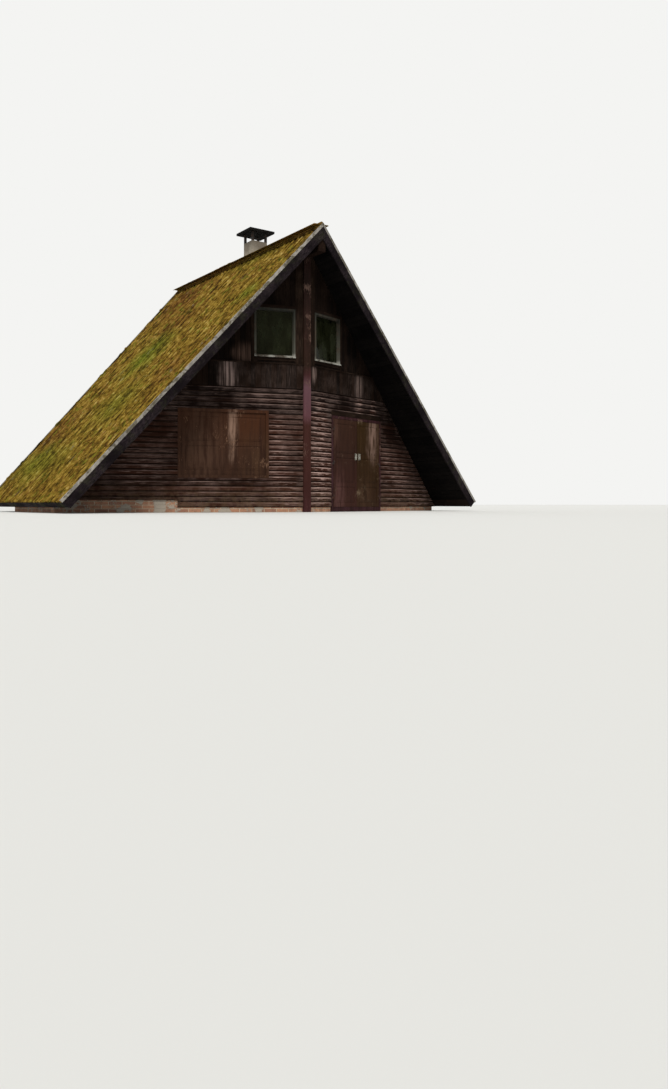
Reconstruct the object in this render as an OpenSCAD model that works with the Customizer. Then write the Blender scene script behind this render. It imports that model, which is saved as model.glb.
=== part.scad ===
/* [Roof] */
// Height of the ridge of the covering above the ground
ridge_height = 5900; // [5600:50:6200]
// Slope of both roof halves, in degrees
roof_pitch = 48; // [46:0.5:50]
// Length of the ridge from one verge to the other
ridge_length = 6900; // [6500:50:7600]
// Angle in plan by which each verge runs back from the ridge, in degrees
verge_splay = 9; // [7:0.5:10]
// Height of the covering's lower edge above the ground
eave_height = 260; // [240:10:320]
// Height of the corrugated covering, from the troughs' underside to the crests
cover_t = 57; // [50:1:65]
// Width of one wave of the covering
wave_w = 177; // [150:1:200]
// Thickness of the corrugated sheets
sheet_t = 7; // [5:0.5:9]
// Play of the sheets between the roof panel and the trims on top of them
sheet_play = 0.5; // [0.3:0.1:2]
// Thickness of the boarded roof panel under the covering
deck_t = 143; // [120:1:200]
// Thickness of the bargeboards
bargeboard_t = 30; // [20:5:45]
// Depth of the bargeboards, square to the slope
bargeboard_depth = 215; // [205:5:260]
// Thickness of the verge flashing
trim_t = 6; // [3:1:10]
// Width of the verge flashing on the covering
trim_top_w = 50; // [40:10:120]
// Width of the verge flashing down the bargeboard
trim_face_w = 45; // [40:5:120]
// Thickness of the fascia along the eaves
fascia_t = 25; // [18:1:40]
// How far the covering runs past the fascia
cover_drip = 20; // [10:5:40]
// Thickness of the ridge capping
ridge_cap_t = 8; // [4:1:15]
// Width of each wing of the ridge capping
ridge_cap_wing = 150; // [100:10:200]
// Radius of the roll along the ridge capping
ridge_roll_r = 45; // [30:5:60]
// Joint between the two bargeboards where they meet under the ridge
apex_joint = 4; // [2:1:10]

/* [Timber frame] */
// Width of the rafters and joists
timber_w = 90; // [60:5:120]
// Depth of the rafters, square to the slope
rafter_depth = 160; // [120:10:200]
// Number of loft joists; all but the first and the last lie beside a pair of rafters
joist_count = 6; // [4:2:8]
// Gap between the outer joists and the end walls
joist_gap = 10; // [5:5:60]
// Width of the ridge beam and the centre posts
post_w = 170; // [120:5:190]
// Height of the ridge beam
ridge_beam_h = 270; // [220:10:320]
// How far the centre posts stand out from the walls
post_proud = 40; // [20:5:80]

/* [Walls] */
// Overhang of the ridge in front of the nose of the wall
nose_overhang = 620; // [560:10:700]
// Angle in plan by which each wall half runs back from the nose, in degrees
wall_splay = 17; // [15:0.5:17.5]
// Thickness of the end walls and the plinth under them
wall_t = 180; // [140:10:220]
// Height of the masonry plinth
plinth_h = 250; // [200:10:260]
// Width of the plinth under the eaves
side_plinth_w = 250; // [220:10:300]
// Height of the bottom of the board band at the loft floor
band_bottom = 2590; // [2450:10:2650]
// Height of the board band
band_h = 480; // [400:10:520]
// How far the board band stands out from the wall under it
band_proud = 25; // [10:5:35]

/* [Floors] */
// Thickness of the ground floor, which lies on the ground
floor_t = 100; // [80:10:120]
// Depth of the loft joists
joist_h = 180; // [140:10:200]
// Thickness of the loft floor boards
loft_floor_t = 30; // [20:1:40]
// Play of the loft floor to the end walls
loft_floor_play = 5; // [3:1:10]

/* [Doorway and shuttered window] */
// Distance from the nose to the doorway, along the wall
door_from_nose = 820; // [700:10:900]
// Width of the doorway over its frame
door_w = 1870; // [1650:10:1900]
// Height of the doorway over its frame
door_h = 2100; // [1950:10:2300]
// Width of the door frame's members
door_frame_w = 60; // [45:5:80]
// How far door frame and window frames stand out from the walls
frame_proud = 30; // [20:1:40]
// Thickness of the door leaves
leaf_t = 45; // [35:1:55]
// Gap round each door leaf
leaf_gap = 6; // [5:1:10]
// Gap between the two door leaves
meeting_gap = 10; // [9:1:14]
// Height of the sill of the shuttered window
shutter_sill = 700; // [600:10:900]
// Thickness of the shutters
shutter_t = 30; // [24:1:45]
// Gap between the two shutters
shutter_gap = 4; // [2:1:8]
// Width of the stiles and rails of leaves and shutters
stile_w = 95; // [70:5:120]
// Depth of the panels behind the stiles and rails
panel_depth = 8; // [4:1:10]
// Height of the lower middle rail of the door leaves
low_rail = 600; // [500:10:700]
// Height of the upper middle rail of the door leaves
high_rail = 1240; // [1100:10:1400]

/* [Door hardware] */
// Radius of the hinge knuckles
knuckle_r = 8; // [6:0.5:9]
// Height of one hinge knuckle
knuckle_h = 44; // [30:1:60]
// Gap between the two knuckles of a hinge
knuckle_gap = 2; // [1:0.5:4]
// Distance of the hinge axis in front of the leaves
hinge_offset = 10; // [10:0.5:14]
// Thickness of the hinge plates
hinge_plate_t = 3; // [2:0.5:5]
// Width of the hinge plates
hinge_plate_w = 46; // [30:1:55]
// Height of the lowest hinge
hinge_low = 330; // [250:10:450]
// Height of the highest hinge
hinge_high = 1820; // [1700:10:1850]
// Height of the middle of the door handles
handle_height = 1230; // [1000:10:1300]
// Distance of the handles from the edge of the leaf
handle_inset = 60; // [40:1:80]
// Width of the handle plates
handle_plate_w = 32; // [26:1:50]
// Height of the handle plates
handle_plate_h = 150; // [120:5:200]
// Thickness of the handle plates
handle_plate_t = 5; // [3:1:8]
// Reach of the handles in front of the plates
handle_reach = 38; // [30:1:60]
// Radius of the handle grips
grip_r = 9; // [6:0.5:12]

/* [Upper windows] */
// Distance from the centre post to the upper windows, along the wall
window_post_gap = 160; // [120:5:180]
// Width of the upper windows over their frames
window_w = 875; // [830:5:900]
// Distance from the board band up to the upper windows
window_band_gap = 140; // [90:5:160]
// Distance from the outer top corners of the upper windows up to the roof panels
window_roof_gap = 180; // [140:5:240]
// Width of the window frames' members
window_frame_w = 42; // [36:1:60]
// Depth of the window frames inside the wall
window_frame_d = 75; // [60:5:110]
// Thickness of the glass
glass_t = 6; // [4:1:20]
// Depth of the glass behind the wall's face
glass_set_back = 30; // [20:1:40]
// How far the sill boards stand out from the walls
sill_proud = 60; // [40:5:90]
// Thickness of the sill boards at the wall
sill_t = 34; // [24:1:45]
// Fall of the sill boards from the wall to their front edge
sill_fall = 12; // [4:1:18]

/* [Chimney] */
// Width of the square chimney stack
stack_w = 400; // [360:10:420]
// Width of the square flue
flue_w = 200; // [150:10:220]
// Height of the bottom of the flue
flue_bottom = 600; // [400:50:1000]
// Distance from the ridge beam to the stack
stack_beam_gap = 65; // [55:5:165]
// Distance from the stack to the rafters in front of it
stack_frame_gap = 20; // [12:1:60]
// Height of the stack above the ridge
stack_rise = 470; // [400:10:600]
// Gap round the stack in the roof and the loft floor
stack_gap = 10; // [5:1:15]
// Height of the posts under the cap
cap_post_h = 200; // [150:10:250]
// Width of the posts under the cap
cap_post_w = 50; // [40:1:70]
// Width of the square cap
cap_w = 660; // [560:10:760]
// Thickness of the cap
cap_t = 50; // [40:5:80]
// Width of the flashing round the stack
flashing_w = 70; // [40:5:100]
// Thickness of the flashing round the stack
flashing_t = 5; // [3:1:8]

/* [Hidden] */
// Larger than the cabin in every direction, for cuts that run right through
reach = ridge_height + ridge_length;
slope_length = (ridge_height - eave_height) / sin(roof_pitch);
deck_bottom = cover_t + deck_t;
rafter_bottom = deck_bottom + rafter_depth;
nose_y = nose_overhang - ridge_length / 2;
// Top of the plain post under the ridge beam
post_top = apex_under(deck_bottom) - ridge_beam_h;
// The plinth ends where its top meets the underside of the roof panel
plinth_out = (apex_under(deck_bottom) - plinth_h) / tan(roof_pitch);
plinth_in = plinth_out - side_plinth_w;
band_top = band_bottom + band_h;
joist_top = band_bottom + joist_h;
door_end = door_from_nose + door_w;
door_clear_w = door_w - 2 * door_frame_w;
leaf_w = (door_clear_w - 2 * leaf_gap - meeting_gap) / 2;
leaf_bottom = floor_t + leaf_gap;
leaf_top = door_h - door_frame_w - leaf_gap;
hinge_heights = [hinge_low, (hinge_low + hinge_high) / 2, hinge_high];
window_start = post_w / 2 / cos(wall_splay) + window_post_gap;
window_end = window_start + window_w;
window_sill = band_top + window_band_gap;
window_top = apex_under(deck_bottom) - window_end * cos(wall_splay) * tan(roof_pitch) - window_roof_gap;
// Distance from the middle to the ends of the loft joists, where the outer joists come nearest to the walls
loft_half = (apex_under(rafter_bottom) - band_bottom) / tan(roof_pitch);
outer_joist = -wall_y(loft_half, wall_t) - joist_gap - timber_w / 2;
frame_spacing = 2 * outer_joist / (joist_count - 1);
joist_places = [for (i = [0 : joist_count - 1]) i * frame_spacing - outer_joist];
frame_places = [for (i = [1 : joist_count - 2]) joist_places[i]];
stack_x = post_w / 2 + stack_beam_gap + stack_w / 2;
stack_y = (timber_w - frame_spacing + stack_w) / 2 + stack_frame_gap;
stack_top = ridge_height + stack_rise;
cover_end = slope_length + fascia_t + cover_drip;
// Straight pieces that each wave is drawn with
wave_steps = 12;
$fn = 48;

// Height at the middle of the cabin of a plane that lies this deep under the covering's face
function apex_under(depth) = ridge_height - depth / cos(roof_pitch);

// Distance in front of or behind the middle of the verge line, seen in plan
function verge_y(x, inset) = inset / cos(verge_splay) - ridge_length / 2 + x * tan(verge_splay);

// The same for the outer face of the end wall, or a plane inside it
function wall_y(x, inset) = nose_y + inset / cos(wall_splay) + x * tan(wall_splay);

module both_sides() {
    children();
    mirror([1, 0, 0]) children();
}

module both_ends() {
    children();
    mirror([0, 1, 0]) children();
}

// Everything under a plane parallel to the roof, at this depth under the covering's face
module under_roof(depth) {
    apex = apex_under(depth);
    half = apex / tan(roof_pitch);
    rotate([90, 0, 0])
        linear_extrude(2 * reach, center = true)
            polygon([[-half, 0], [half, 0], [0, apex]]);
}

// Everything past this distance down the right roof half
module past(distance) {
    translate([0, 0, ridge_height])
        rotate([0, roof_pitch, 0])
            translate([distance, -reach, -reach])
                cube(2 * reach);
}

// The right half of the plan between the verges, this far inside them
module inside_verges(inset) {
    linear_extrude(reach)
        polygon([
            [0, verge_y(0, inset)],
            [reach, verge_y(reach, inset)],
            [reach, -verge_y(reach, inset)],
            [0, -verge_y(0, inset)]
        ]);
}

// A layer of the right roof half between two depths, down to this distance from the ridge
module roof_layer(top, bottom, end, inset) {
    difference() {
        intersection() {
            under_roof(top);
            inside_verges(inset);
        }
        under_roof(bottom);
        past(end);
    }
}

// Everything to the right of a plane square to the cabin's width
module right_of(x) {
    translate([x, -reach, 0])
        cube(2 * reach);
}

module back_half() {
    translate([-reach, 0, 0])
        cube(2 * reach);
}

// Children are placed along the right half of the front wall: X along it, Y into it
module along_front_wall() {
    translate([0, nose_y, 0])
        rotate([0, 0, wall_splay])
            children();
}

// A block of the right half of the front wall, standing this far out of its plane
module wall_block(from, to, bottom, top, proud = 0) {
    along_front_wall()
        translate([from, -proud, bottom])
            cube([to - from, wall_t + proud, top - bottom]);
}

// Cuts the right half of the wall to the post and to the underside of the roof panel
module fitted_to_post_and_roof() {
    intersection() {
        children();
        under_roof(deck_bottom);
        right_of(post_w / 2);
    }
}

// Outline of the room out to the side plinths, with its ends this deep in the end walls
module room_outline(depth) {
    near = wall_y(0, depth);
    far = wall_y(plinth_in, depth);
    polygon([
        [0, near], [plinth_in, far], [plinth_in, -far],
        [0, -near], [-plinth_in, -far], [-plinth_in, far]
    ]);
}

// The space between the inner faces of the end walls, out to the side plinths
module room_block(bottom, top) {
    difference() {
        translate([0, 0, bottom])
            linear_extrude(top - bottom)
                room_outline(wall_t / 2);
        both_ends() both_sides() wall_block(0, reach, bottom, top);
    }
}

module window_opening(bottom, top, from, to, frame = 0) {
    along_front_wall()
        translate([from + frame, -reach / 2, bottom + frame])
            cube([to - from - 2 * frame, reach, top - bottom - 2 * frame]);
}

// A frame that fills a window's edge in the right half of the front wall
module window_ring(bottom, top, from, to, member, depth) {
    difference() {
        along_front_wall()
            translate([from, -frame_proud, bottom])
                cube([to - from, depth + frame_proud, top - bottom]);
        window_opening(bottom, top, from, to, member);
    }
}

module upper_window_cut() {
    window_opening(window_sill, window_top, window_start, window_end);
}

// Sill board on the wall's face, with a sloping top
module sill_board(height, from, to) {
    along_front_wall()
        translate([from, 0, height])
            rotate([90, 0, 90])
                linear_extrude(to - from)
                    polygon([[0, 0], [0, sill_t], [-sill_proud, sill_t - sill_fall], [-sill_proud, 0]]);
}

module upper_window_frame() {
    window_ring(window_sill, window_top, window_start, window_end, window_frame_w, window_frame_d);
    sill_board(window_sill, window_start, window_end);
}

module upper_window_pane() {
    along_front_wall()
        translate([window_start + window_frame_w, glass_set_back, window_sill + window_frame_w])
            cube([window_w - 2 * window_frame_w, glass_t, window_top - window_sill - 2 * window_frame_w]);
}

// Masonry

module plinth_half() {
    difference() {
        intersection() {
            wall_block(0, reach, 0, plinth_h);
            right_of(post_w / 2);
        }
        right_of(plinth_in);
    }
}

module plinth_front() {
    color("#6d6258") {
        mirror([1, 0, 0]) plinth_half();
        difference() {
            plinth_half();
            wall_block(door_from_nose, door_end, 0, reach);
        }
    }
}

module plinth_back() {
    color("#6d6258")
        both_sides() mirror([0, 1, 0]) plinth_half();
}

module plinth_sides() {
    color("#6d6258")
        both_sides()
            linear_extrude(plinth_h)
                polygon([
                    [plinth_in, wall_y(plinth_in, 0)],
                    [plinth_out, wall_y(plinth_out, 0)],
                    [plinth_out, -wall_y(plinth_out, 0)],
                    [plinth_in, -wall_y(plinth_in, 0)]
                ]);
}

module chimney_stack() {
    color("#b3a596")
        difference() {
            stack_block(stack_w, floor_t, stack_top);
            stack_block(flue_w, flue_bottom, reach);
        }
}

module stack_block(width, bottom, top) {
    translate([stack_x - width / 2, stack_y - width / 2, bottom])
        cube([width, width, top - bottom]);
}

module chimney_cap_posts() {
    place = (stack_w - cap_post_w) / 2;
    color("#2b2724")
        for (side = [-1, 1], end = [-1, 1])
            translate([stack_x + side * place, stack_y + end * place, stack_top])
                translate([-cap_post_w / 2, -cap_post_w / 2, 0])
                    cube([cap_post_w, cap_post_w, cap_post_h]);
}

module chimney_cap() {
    bottom = stack_top + cap_post_h;
    color("#2b2724")
        stack_block(cap_w, bottom, bottom + cap_t);
}

// The flashing stops where the ridge capping starts
module chimney_flashing() {
    color("#8b8b88")
        difference() {
            intersection() {
                roof_layer(-flashing_t, 0, slope_length, trim_top_w);
                stack_block(stack_w + 2 * flashing_w, 0, reach);
                past(ridge_cap_wing);
            }
            stack_block(stack_w, 0, reach);
        }
}

// Floors and timber frame

module ground_floor() {
    color("#7a6f63")
        difference() {
            room_block(0, floor_t);
            both_ends() post_block(reach);
        }
}

module loft_floor() {
    color("#7d5c40")
        difference() {
            intersection() {
                translate([0, 0, joist_top])
                    linear_extrude(loft_floor_t)
                        room_outline(wall_t + loft_floor_play);
                under_roof(rafter_bottom);
            }
            both_ends() post_block(reach);
            stack_block(stack_w + 2 * stack_gap, 0, reach);
        }
}

module loft_joists() {
    color("#6b4b33")
        intersection() {
            for (y = joist_places)
                translate([-reach, y - timber_w / 2, band_bottom])
                    cube([2 * reach, timber_w, joist_h]);
            under_roof(rafter_bottom);
        }
}

// Rafters run from the ridge beam to the top of the plinth under the eaves
module right_rafters() {
    color("#6b4b33")
        difference() {
            intersection() {
                under_roof(deck_bottom);
                for (y = frame_places)
                    translate([post_w / 2, y - timber_w / 2, plinth_h])
                        cube([reach, timber_w, reach]);
            }
            under_roof(rafter_bottom);
        }
}

module rafters_left() { mirror([1, 0, 0]) right_rafters(); }

module rafters_right() { right_rafters(); }

module ridge_beam() {
    color("#5c3a2c")
        intersection() {
            translate([-post_w / 2, -reach, post_top])
                cube([post_w, 2 * reach, ridge_beam_h]);
            under_roof(deck_bottom);
            both_sides() inside_verges(bargeboard_t);
        }
}

module post_block(top) {
    translate([-post_w / 2, nose_y - post_proud, 0])
        cube([post_w, post_proud + wall_t + post_w / 2, top]);
}

module front_post() { color("#4a2429") post_block(post_top); }

module back_post() { color("#4a2429") mirror([0, 1, 0]) post_block(post_top); }

// End walls

module front_wall_left() {
    color("#4b3129")
        mirror([1, 0, 0])
            difference() {
                fitted_to_post_and_roof() wall_block(0, reach, plinth_h, band_bottom);
                window_opening(shutter_sill, door_h, door_from_nose, door_end);
            }
}

module front_wall_beside_door() {
    color("#4b3129")
        fitted_to_post_and_roof() wall_block(0, door_from_nose, plinth_h, band_bottom);
}

module front_wall_over_door() {
    color("#4b3129")
        fitted_to_post_and_roof() wall_block(door_from_nose, door_end, door_h, band_bottom);
}

module front_wall_right() {
    color("#4b3129")
        fitted_to_post_and_roof() wall_block(door_end, reach, plinth_h, band_bottom);
}

module front_band() {
    color("#503430")
        both_sides() right_band();
}

module right_band() {
    fitted_to_post_and_roof() wall_block(0, reach, band_bottom, band_top, band_proud);
}

module right_gable() {
    difference() {
        fitted_to_post_and_roof() wall_block(0, reach, band_top, reach);
        upper_window_cut();
    }
}

module front_gable() { color("#432a26") both_sides() right_gable(); }

module back_wall() {
    color("#4b3129")
        mirror([0, 1, 0])
            both_sides() {
                fitted_to_post_and_roof() wall_block(0, reach, plinth_h, band_bottom);
                right_band();
            }
}

module back_gable() { color("#432a26") mirror([0, 1, 0]) both_sides() right_gable(); }

// Windows

module upper_window_frames_front() { color("#8f938c") both_sides() upper_window_frame(); }

module upper_window_frames_back() {
    color("#8f938c") mirror([0, 1, 0]) both_sides() upper_window_frame();
}

module upper_window_glass() {
    color("#2a322c") both_ends() both_sides() upper_window_pane();
}

module shuttered_window_frame() {
    color("#3c2521")
        mirror([1, 0, 0])
            window_ring(shutter_sill, door_h, door_from_nose, door_end, door_frame_w, window_frame_d);
}

// A board panel with its face at Y = 0 and sunk fields between these pairs of heights
module panelled_board(width, thickness, bottom, top, fields) {
    difference() {
        translate([0, 0, bottom])
            cube([width, thickness, top - bottom]);
        for (field = fields, side = [0, 1])
            translate([stile_w, side * thickness - panel_depth, field[0]])
                cube([width - 2 * stile_w, 2 * panel_depth, field[1] - field[0]]);
    }
}

module shutters() {
    width = (door_clear_w - shutter_gap) / 2;
    bottom = shutter_sill + door_frame_w;
    top = door_h - door_frame_w;
    middle = (bottom + top) / 2;
    fields = [[bottom + stile_w, middle - stile_w / 2], [middle + stile_w / 2, top - stile_w]];
    color("#5a3b31")
        mirror([1, 0, 0])
            along_front_wall()
                for (start = [0, width + shutter_gap])
                    translate([door_from_nose + door_frame_w + start, 0, 0])
                        panelled_board(width, shutter_t, bottom, top, fields);
}

// Double door

module door_frame() {
    color("#4a2429")
        difference() {
            along_front_wall()
                translate([door_from_nose, -frame_proud, 0])
                    cube([door_w, wall_t + frame_proud, door_h]);
            along_front_wall()
                translate([door_from_nose + door_frame_w, -reach / 2, floor_t])
                    cube([door_clear_w, reach, door_h - door_frame_w - floor_t]);
        }
}

// Children are placed with the hinge axis of the left leaf as origin, the leaf along X
module at_left_hinge() {
    along_front_wall()
        translate([door_from_nose + door_frame_w + leaf_gap, -frame_proud - hinge_offset, 0])
            children();
}

// The same for the right leaf, whose own X runs back towards the nose
module at_right_hinge() {
    along_front_wall()
        translate([door_end - door_frame_w - leaf_gap, -frame_proud - hinge_offset, 0])
            mirror([1, 0, 0])
                children();
}

module leaf() {
    fields = [
        [leaf_bottom + stile_w, low_rail - stile_w / 2],
        [low_rail + stile_w / 2, high_rail - stile_w / 2],
        [high_rail + stile_w / 2, leaf_top - stile_w]
    ];
    color("#5a3b31")
        translate([0, hinge_offset, 0])
            panelled_board(leaf_w, leaf_t, leaf_bottom, leaf_top, fields);
}

// A plate with a bow grip on the leaf's outer face
module handle() {
    grip_y = hinge_offset - handle_plate_t - handle_reach + grip_r;
    grip_half = handle_plate_h / 2 - grip_r;
    color("#d9d6cc")
        translate([leaf_w - handle_inset, 0, handle_height]) {
            translate([-handle_plate_w / 2, hinge_offset - handle_plate_t, -handle_plate_h / 2])
                cube([handle_plate_w, handle_plate_t, handle_plate_h]);
            translate([0, grip_y, -grip_half])
                cylinder(r = grip_r, h = 2 * grip_half);
            for (z = [-grip_half, grip_half - 2 * grip_r])
                translate([-grip_r / 2, grip_y, z])
                    cube([grip_r, handle_reach - grip_r + handle_plate_t / 2, 2 * grip_r]);
        }
}

// The upper knuckle of each hinge, with its plate on the leaf
module leaf_knuckles() {
    color("#55524e")
        for (z = hinge_heights)
            translate([0, 0, z + knuckle_gap / 2])
                knuckle(1);
}

// The lower knuckle of each hinge, with its plate on the frame
module frame_knuckles() {
    color("#55524e")
        for (z = hinge_heights)
            translate([0, 0, z - knuckle_h - knuckle_gap / 2])
                knuckle(-1);
}

module knuckle(side) {
    cylinder(r = knuckle_r, h = knuckle_h);
    translate([side < 0 ? -hinge_plate_w : 0, hinge_offset - hinge_plate_t, 0])
        cube([hinge_plate_w, hinge_plate_t, knuckle_h]);
}

module door_leaf_left() { at_left_hinge() leaf(); }

module door_leaf_right() { at_right_hinge() leaf(); }

module door_handle_left() { at_left_hinge() handle(); }

module door_handle_right() { at_right_hinge() handle(); }

module hinge_knuckles_left() { at_left_hinge() leaf_knuckles(); }

module hinge_knuckles_right() { at_right_hinge() leaf_knuckles(); }

module hinge_knuckles_frame() {
    at_left_hinge() frame_knuckles();
    at_right_hinge() frame_knuckles();
}

// Roof

module half_deck() {
    roof_layer(cover_t, deck_bottom, slope_length, bargeboard_t);
}

// Corrugated sheet of the right roof half, with its waves running down the slope
module half_cover() {
    count = wave_steps * ceil(ridge_length / 2 / wave_w);
    wave_half = (cover_t - sheet_t) / 2 - sheet_play;
    face = [for (i = [-count : count])
        [i * wave_w / wave_steps, wave_half * (cos(360 * i / wave_steps) - 1) - sheet_play]];
    back = [for (i = [count : -1 : -count])
        [i * wave_w / wave_steps, wave_half * (cos(360 * i / wave_steps) - 1) - sheet_play - sheet_t]];
    difference() {
        intersection() {
            translate([0, 0, ridge_height])
                rotate([0, roof_pitch, 0])
                    rotate([90, 0, 90])
                        translate([0, 0, -cover_t])
                            linear_extrude(reach)
                                polygon(concat(face, back));
            inside_verges(bargeboard_t);
        }
        past(cover_end);
    }
}

module roof_deck_left() { color("#4d3529") mirror([1, 0, 0]) half_deck(); }

module roof_deck_right() {
    color("#4d3529")
        difference() {
            half_deck();
            stack_block(stack_w + 2 * stack_gap, 0, reach);
        }
}

module roof_cover_left() { color("#7d6a2c") mirror([1, 0, 0]) half_cover(); }

module roof_cover_right() {
    color("#7d6a2c")
        difference() {
            half_cover();
            stack_block(stack_w, 0, reach);
        }
}

module ridge_cap() {
    color("#6f6a52") {
        both_sides() roof_layer(-ridge_cap_t, 0, ridge_cap_wing, trim_top_w);
        difference() {
            intersection() {
                translate([0, 0, ridge_height])
                    rotate([90, 0, 0])
                        cylinder(r = ridge_roll_r, h = ridge_length, center = true);
                both_sides() inside_verges(trim_top_w);
            }
            under_roof(0);
        }
    }
}

// Bargeboards are cut plumb at the apex, with a fine joint between the two halves
module bargeboard_pair() {
    color("#3a3136")
        both_sides()
            intersection() {
                difference() {
                    roof_layer(0, bargeboard_depth, slope_length + fascia_t, 0);
                    inside_verges(bargeboard_t);
                    back_half();
                }
                right_of(apex_joint / 2);
            }
}

module bargeboards_front() { bargeboard_pair(); }

module bargeboards_back() { mirror([0, 1, 0]) bargeboard_pair(); }

// Folded strips that lie on the covering and hang down over the bargeboards
module verge_trims() {
    color("#a9a39a")
        both_ends()
            both_sides()
                intersection() {
                    difference() {
                        roof_layer(-trim_t, trim_face_w, cover_end, -trim_t);
                        intersection() {
                            under_roof(0);
                            inside_verges(0);
                        }
                        inside_verges(trim_top_w);
                        back_half();
                    }
                    right_of(apex_joint / 2);
                }
}

module eave_fascias() {
    color("#3a3136")
        both_sides()
            intersection() {
                roof_layer(cover_t, deck_bottom, slope_length + fascia_t, bargeboard_t);
                past(slope_length);
            }
}

plinth_front();
plinth_back();
plinth_sides();
ground_floor();
front_post();
back_post();
front_wall_left();
front_wall_beside_door();
front_wall_over_door();
front_wall_right();
front_band();
front_gable();
back_wall();
back_gable();
upper_window_frames_front();
upper_window_frames_back();
upper_window_glass();
shuttered_window_frame();
shutters();
door_frame();
door_leaf_left();
door_leaf_right();
door_handle_left();
door_handle_right();
hinge_knuckles_left();
hinge_knuckles_right();
hinge_knuckles_frame();
rafters_left();
rafters_right();
ridge_beam();
loft_joists();
loft_floor();
roof_deck_left();
roof_deck_right();
roof_cover_left();
roof_cover_right();
ridge_cap();
bargeboards_front();
bargeboards_back();
verge_trims();
eave_fascias();
chimney_stack();
chimney_cap_posts();
chimney_cap();
chimney_flashing();
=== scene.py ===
"""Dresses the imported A-frame cabin: boards, joinery, corrugated roof, moss, masonry, light and camera."""

from __future__ import annotations

import logging
import math
from collections.abc import Callable, Iterator
from contextlib import contextmanager
from dataclasses import dataclass
from enum import Enum

import bpy
import numpy as np
from bpy.types import Material, Mesh, Node, NodeSocket, NodeTree, Object
from mathutils import Matrix, Vector, noise

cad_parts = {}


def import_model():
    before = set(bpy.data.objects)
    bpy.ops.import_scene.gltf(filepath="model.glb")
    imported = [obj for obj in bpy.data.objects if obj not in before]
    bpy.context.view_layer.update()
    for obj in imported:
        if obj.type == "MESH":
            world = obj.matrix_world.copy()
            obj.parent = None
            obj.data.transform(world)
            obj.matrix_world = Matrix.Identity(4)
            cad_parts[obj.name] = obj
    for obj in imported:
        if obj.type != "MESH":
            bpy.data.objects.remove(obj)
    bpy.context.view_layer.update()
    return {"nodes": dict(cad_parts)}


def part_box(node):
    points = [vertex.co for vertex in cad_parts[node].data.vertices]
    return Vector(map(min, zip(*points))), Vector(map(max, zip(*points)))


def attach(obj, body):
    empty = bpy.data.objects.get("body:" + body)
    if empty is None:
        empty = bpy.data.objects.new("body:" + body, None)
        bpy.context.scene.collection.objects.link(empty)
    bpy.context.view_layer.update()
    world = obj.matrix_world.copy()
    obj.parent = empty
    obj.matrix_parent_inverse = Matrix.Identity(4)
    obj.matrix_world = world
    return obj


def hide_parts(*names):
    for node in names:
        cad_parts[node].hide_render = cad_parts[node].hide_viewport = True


log = logging.getLogger("cabin")

MM = 0.001
ROOF_PITCH = math.radians(48)
WALL_SPLAY = math.radians(17)
RIDGE_HEIGHT = 5.9
POST_PROUD = 0.04
TIERS_TOP = 6.0
GRAIN_UV = "Grain"
TONE = "board_tone"
HOUSE = "house"
LEAF_PAINTS = {"left_leaf": "red_brown_door_paint", "right_leaf": "olive_brown_door_paint"}


class Side(Enum):
    """Which half of the cabin, as seen from the front."""

    LEFT = -1
    RIGHT = 1


class End(Enum):
    """Which end of the cabin."""

    FRONT = 1
    BACK = -1


class Run(Enum):
    """How the boards of a field lie on their wall."""

    LEVEL = "level"
    UPRIGHT = "upright"


class Grain(Enum):
    """Where a wood's grain runs: on the piece's own map, or along a direction of the cabin."""

    OWN_MAP = "own map"
    ACROSS = "across the cabin"
    RIDGE = "along the ridge"
    UPRIGHT = "upright"
    RIGHT_SLOPE = "down the right roof half"
    LEFT_SLOPE = "down the left roof half"


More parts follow.
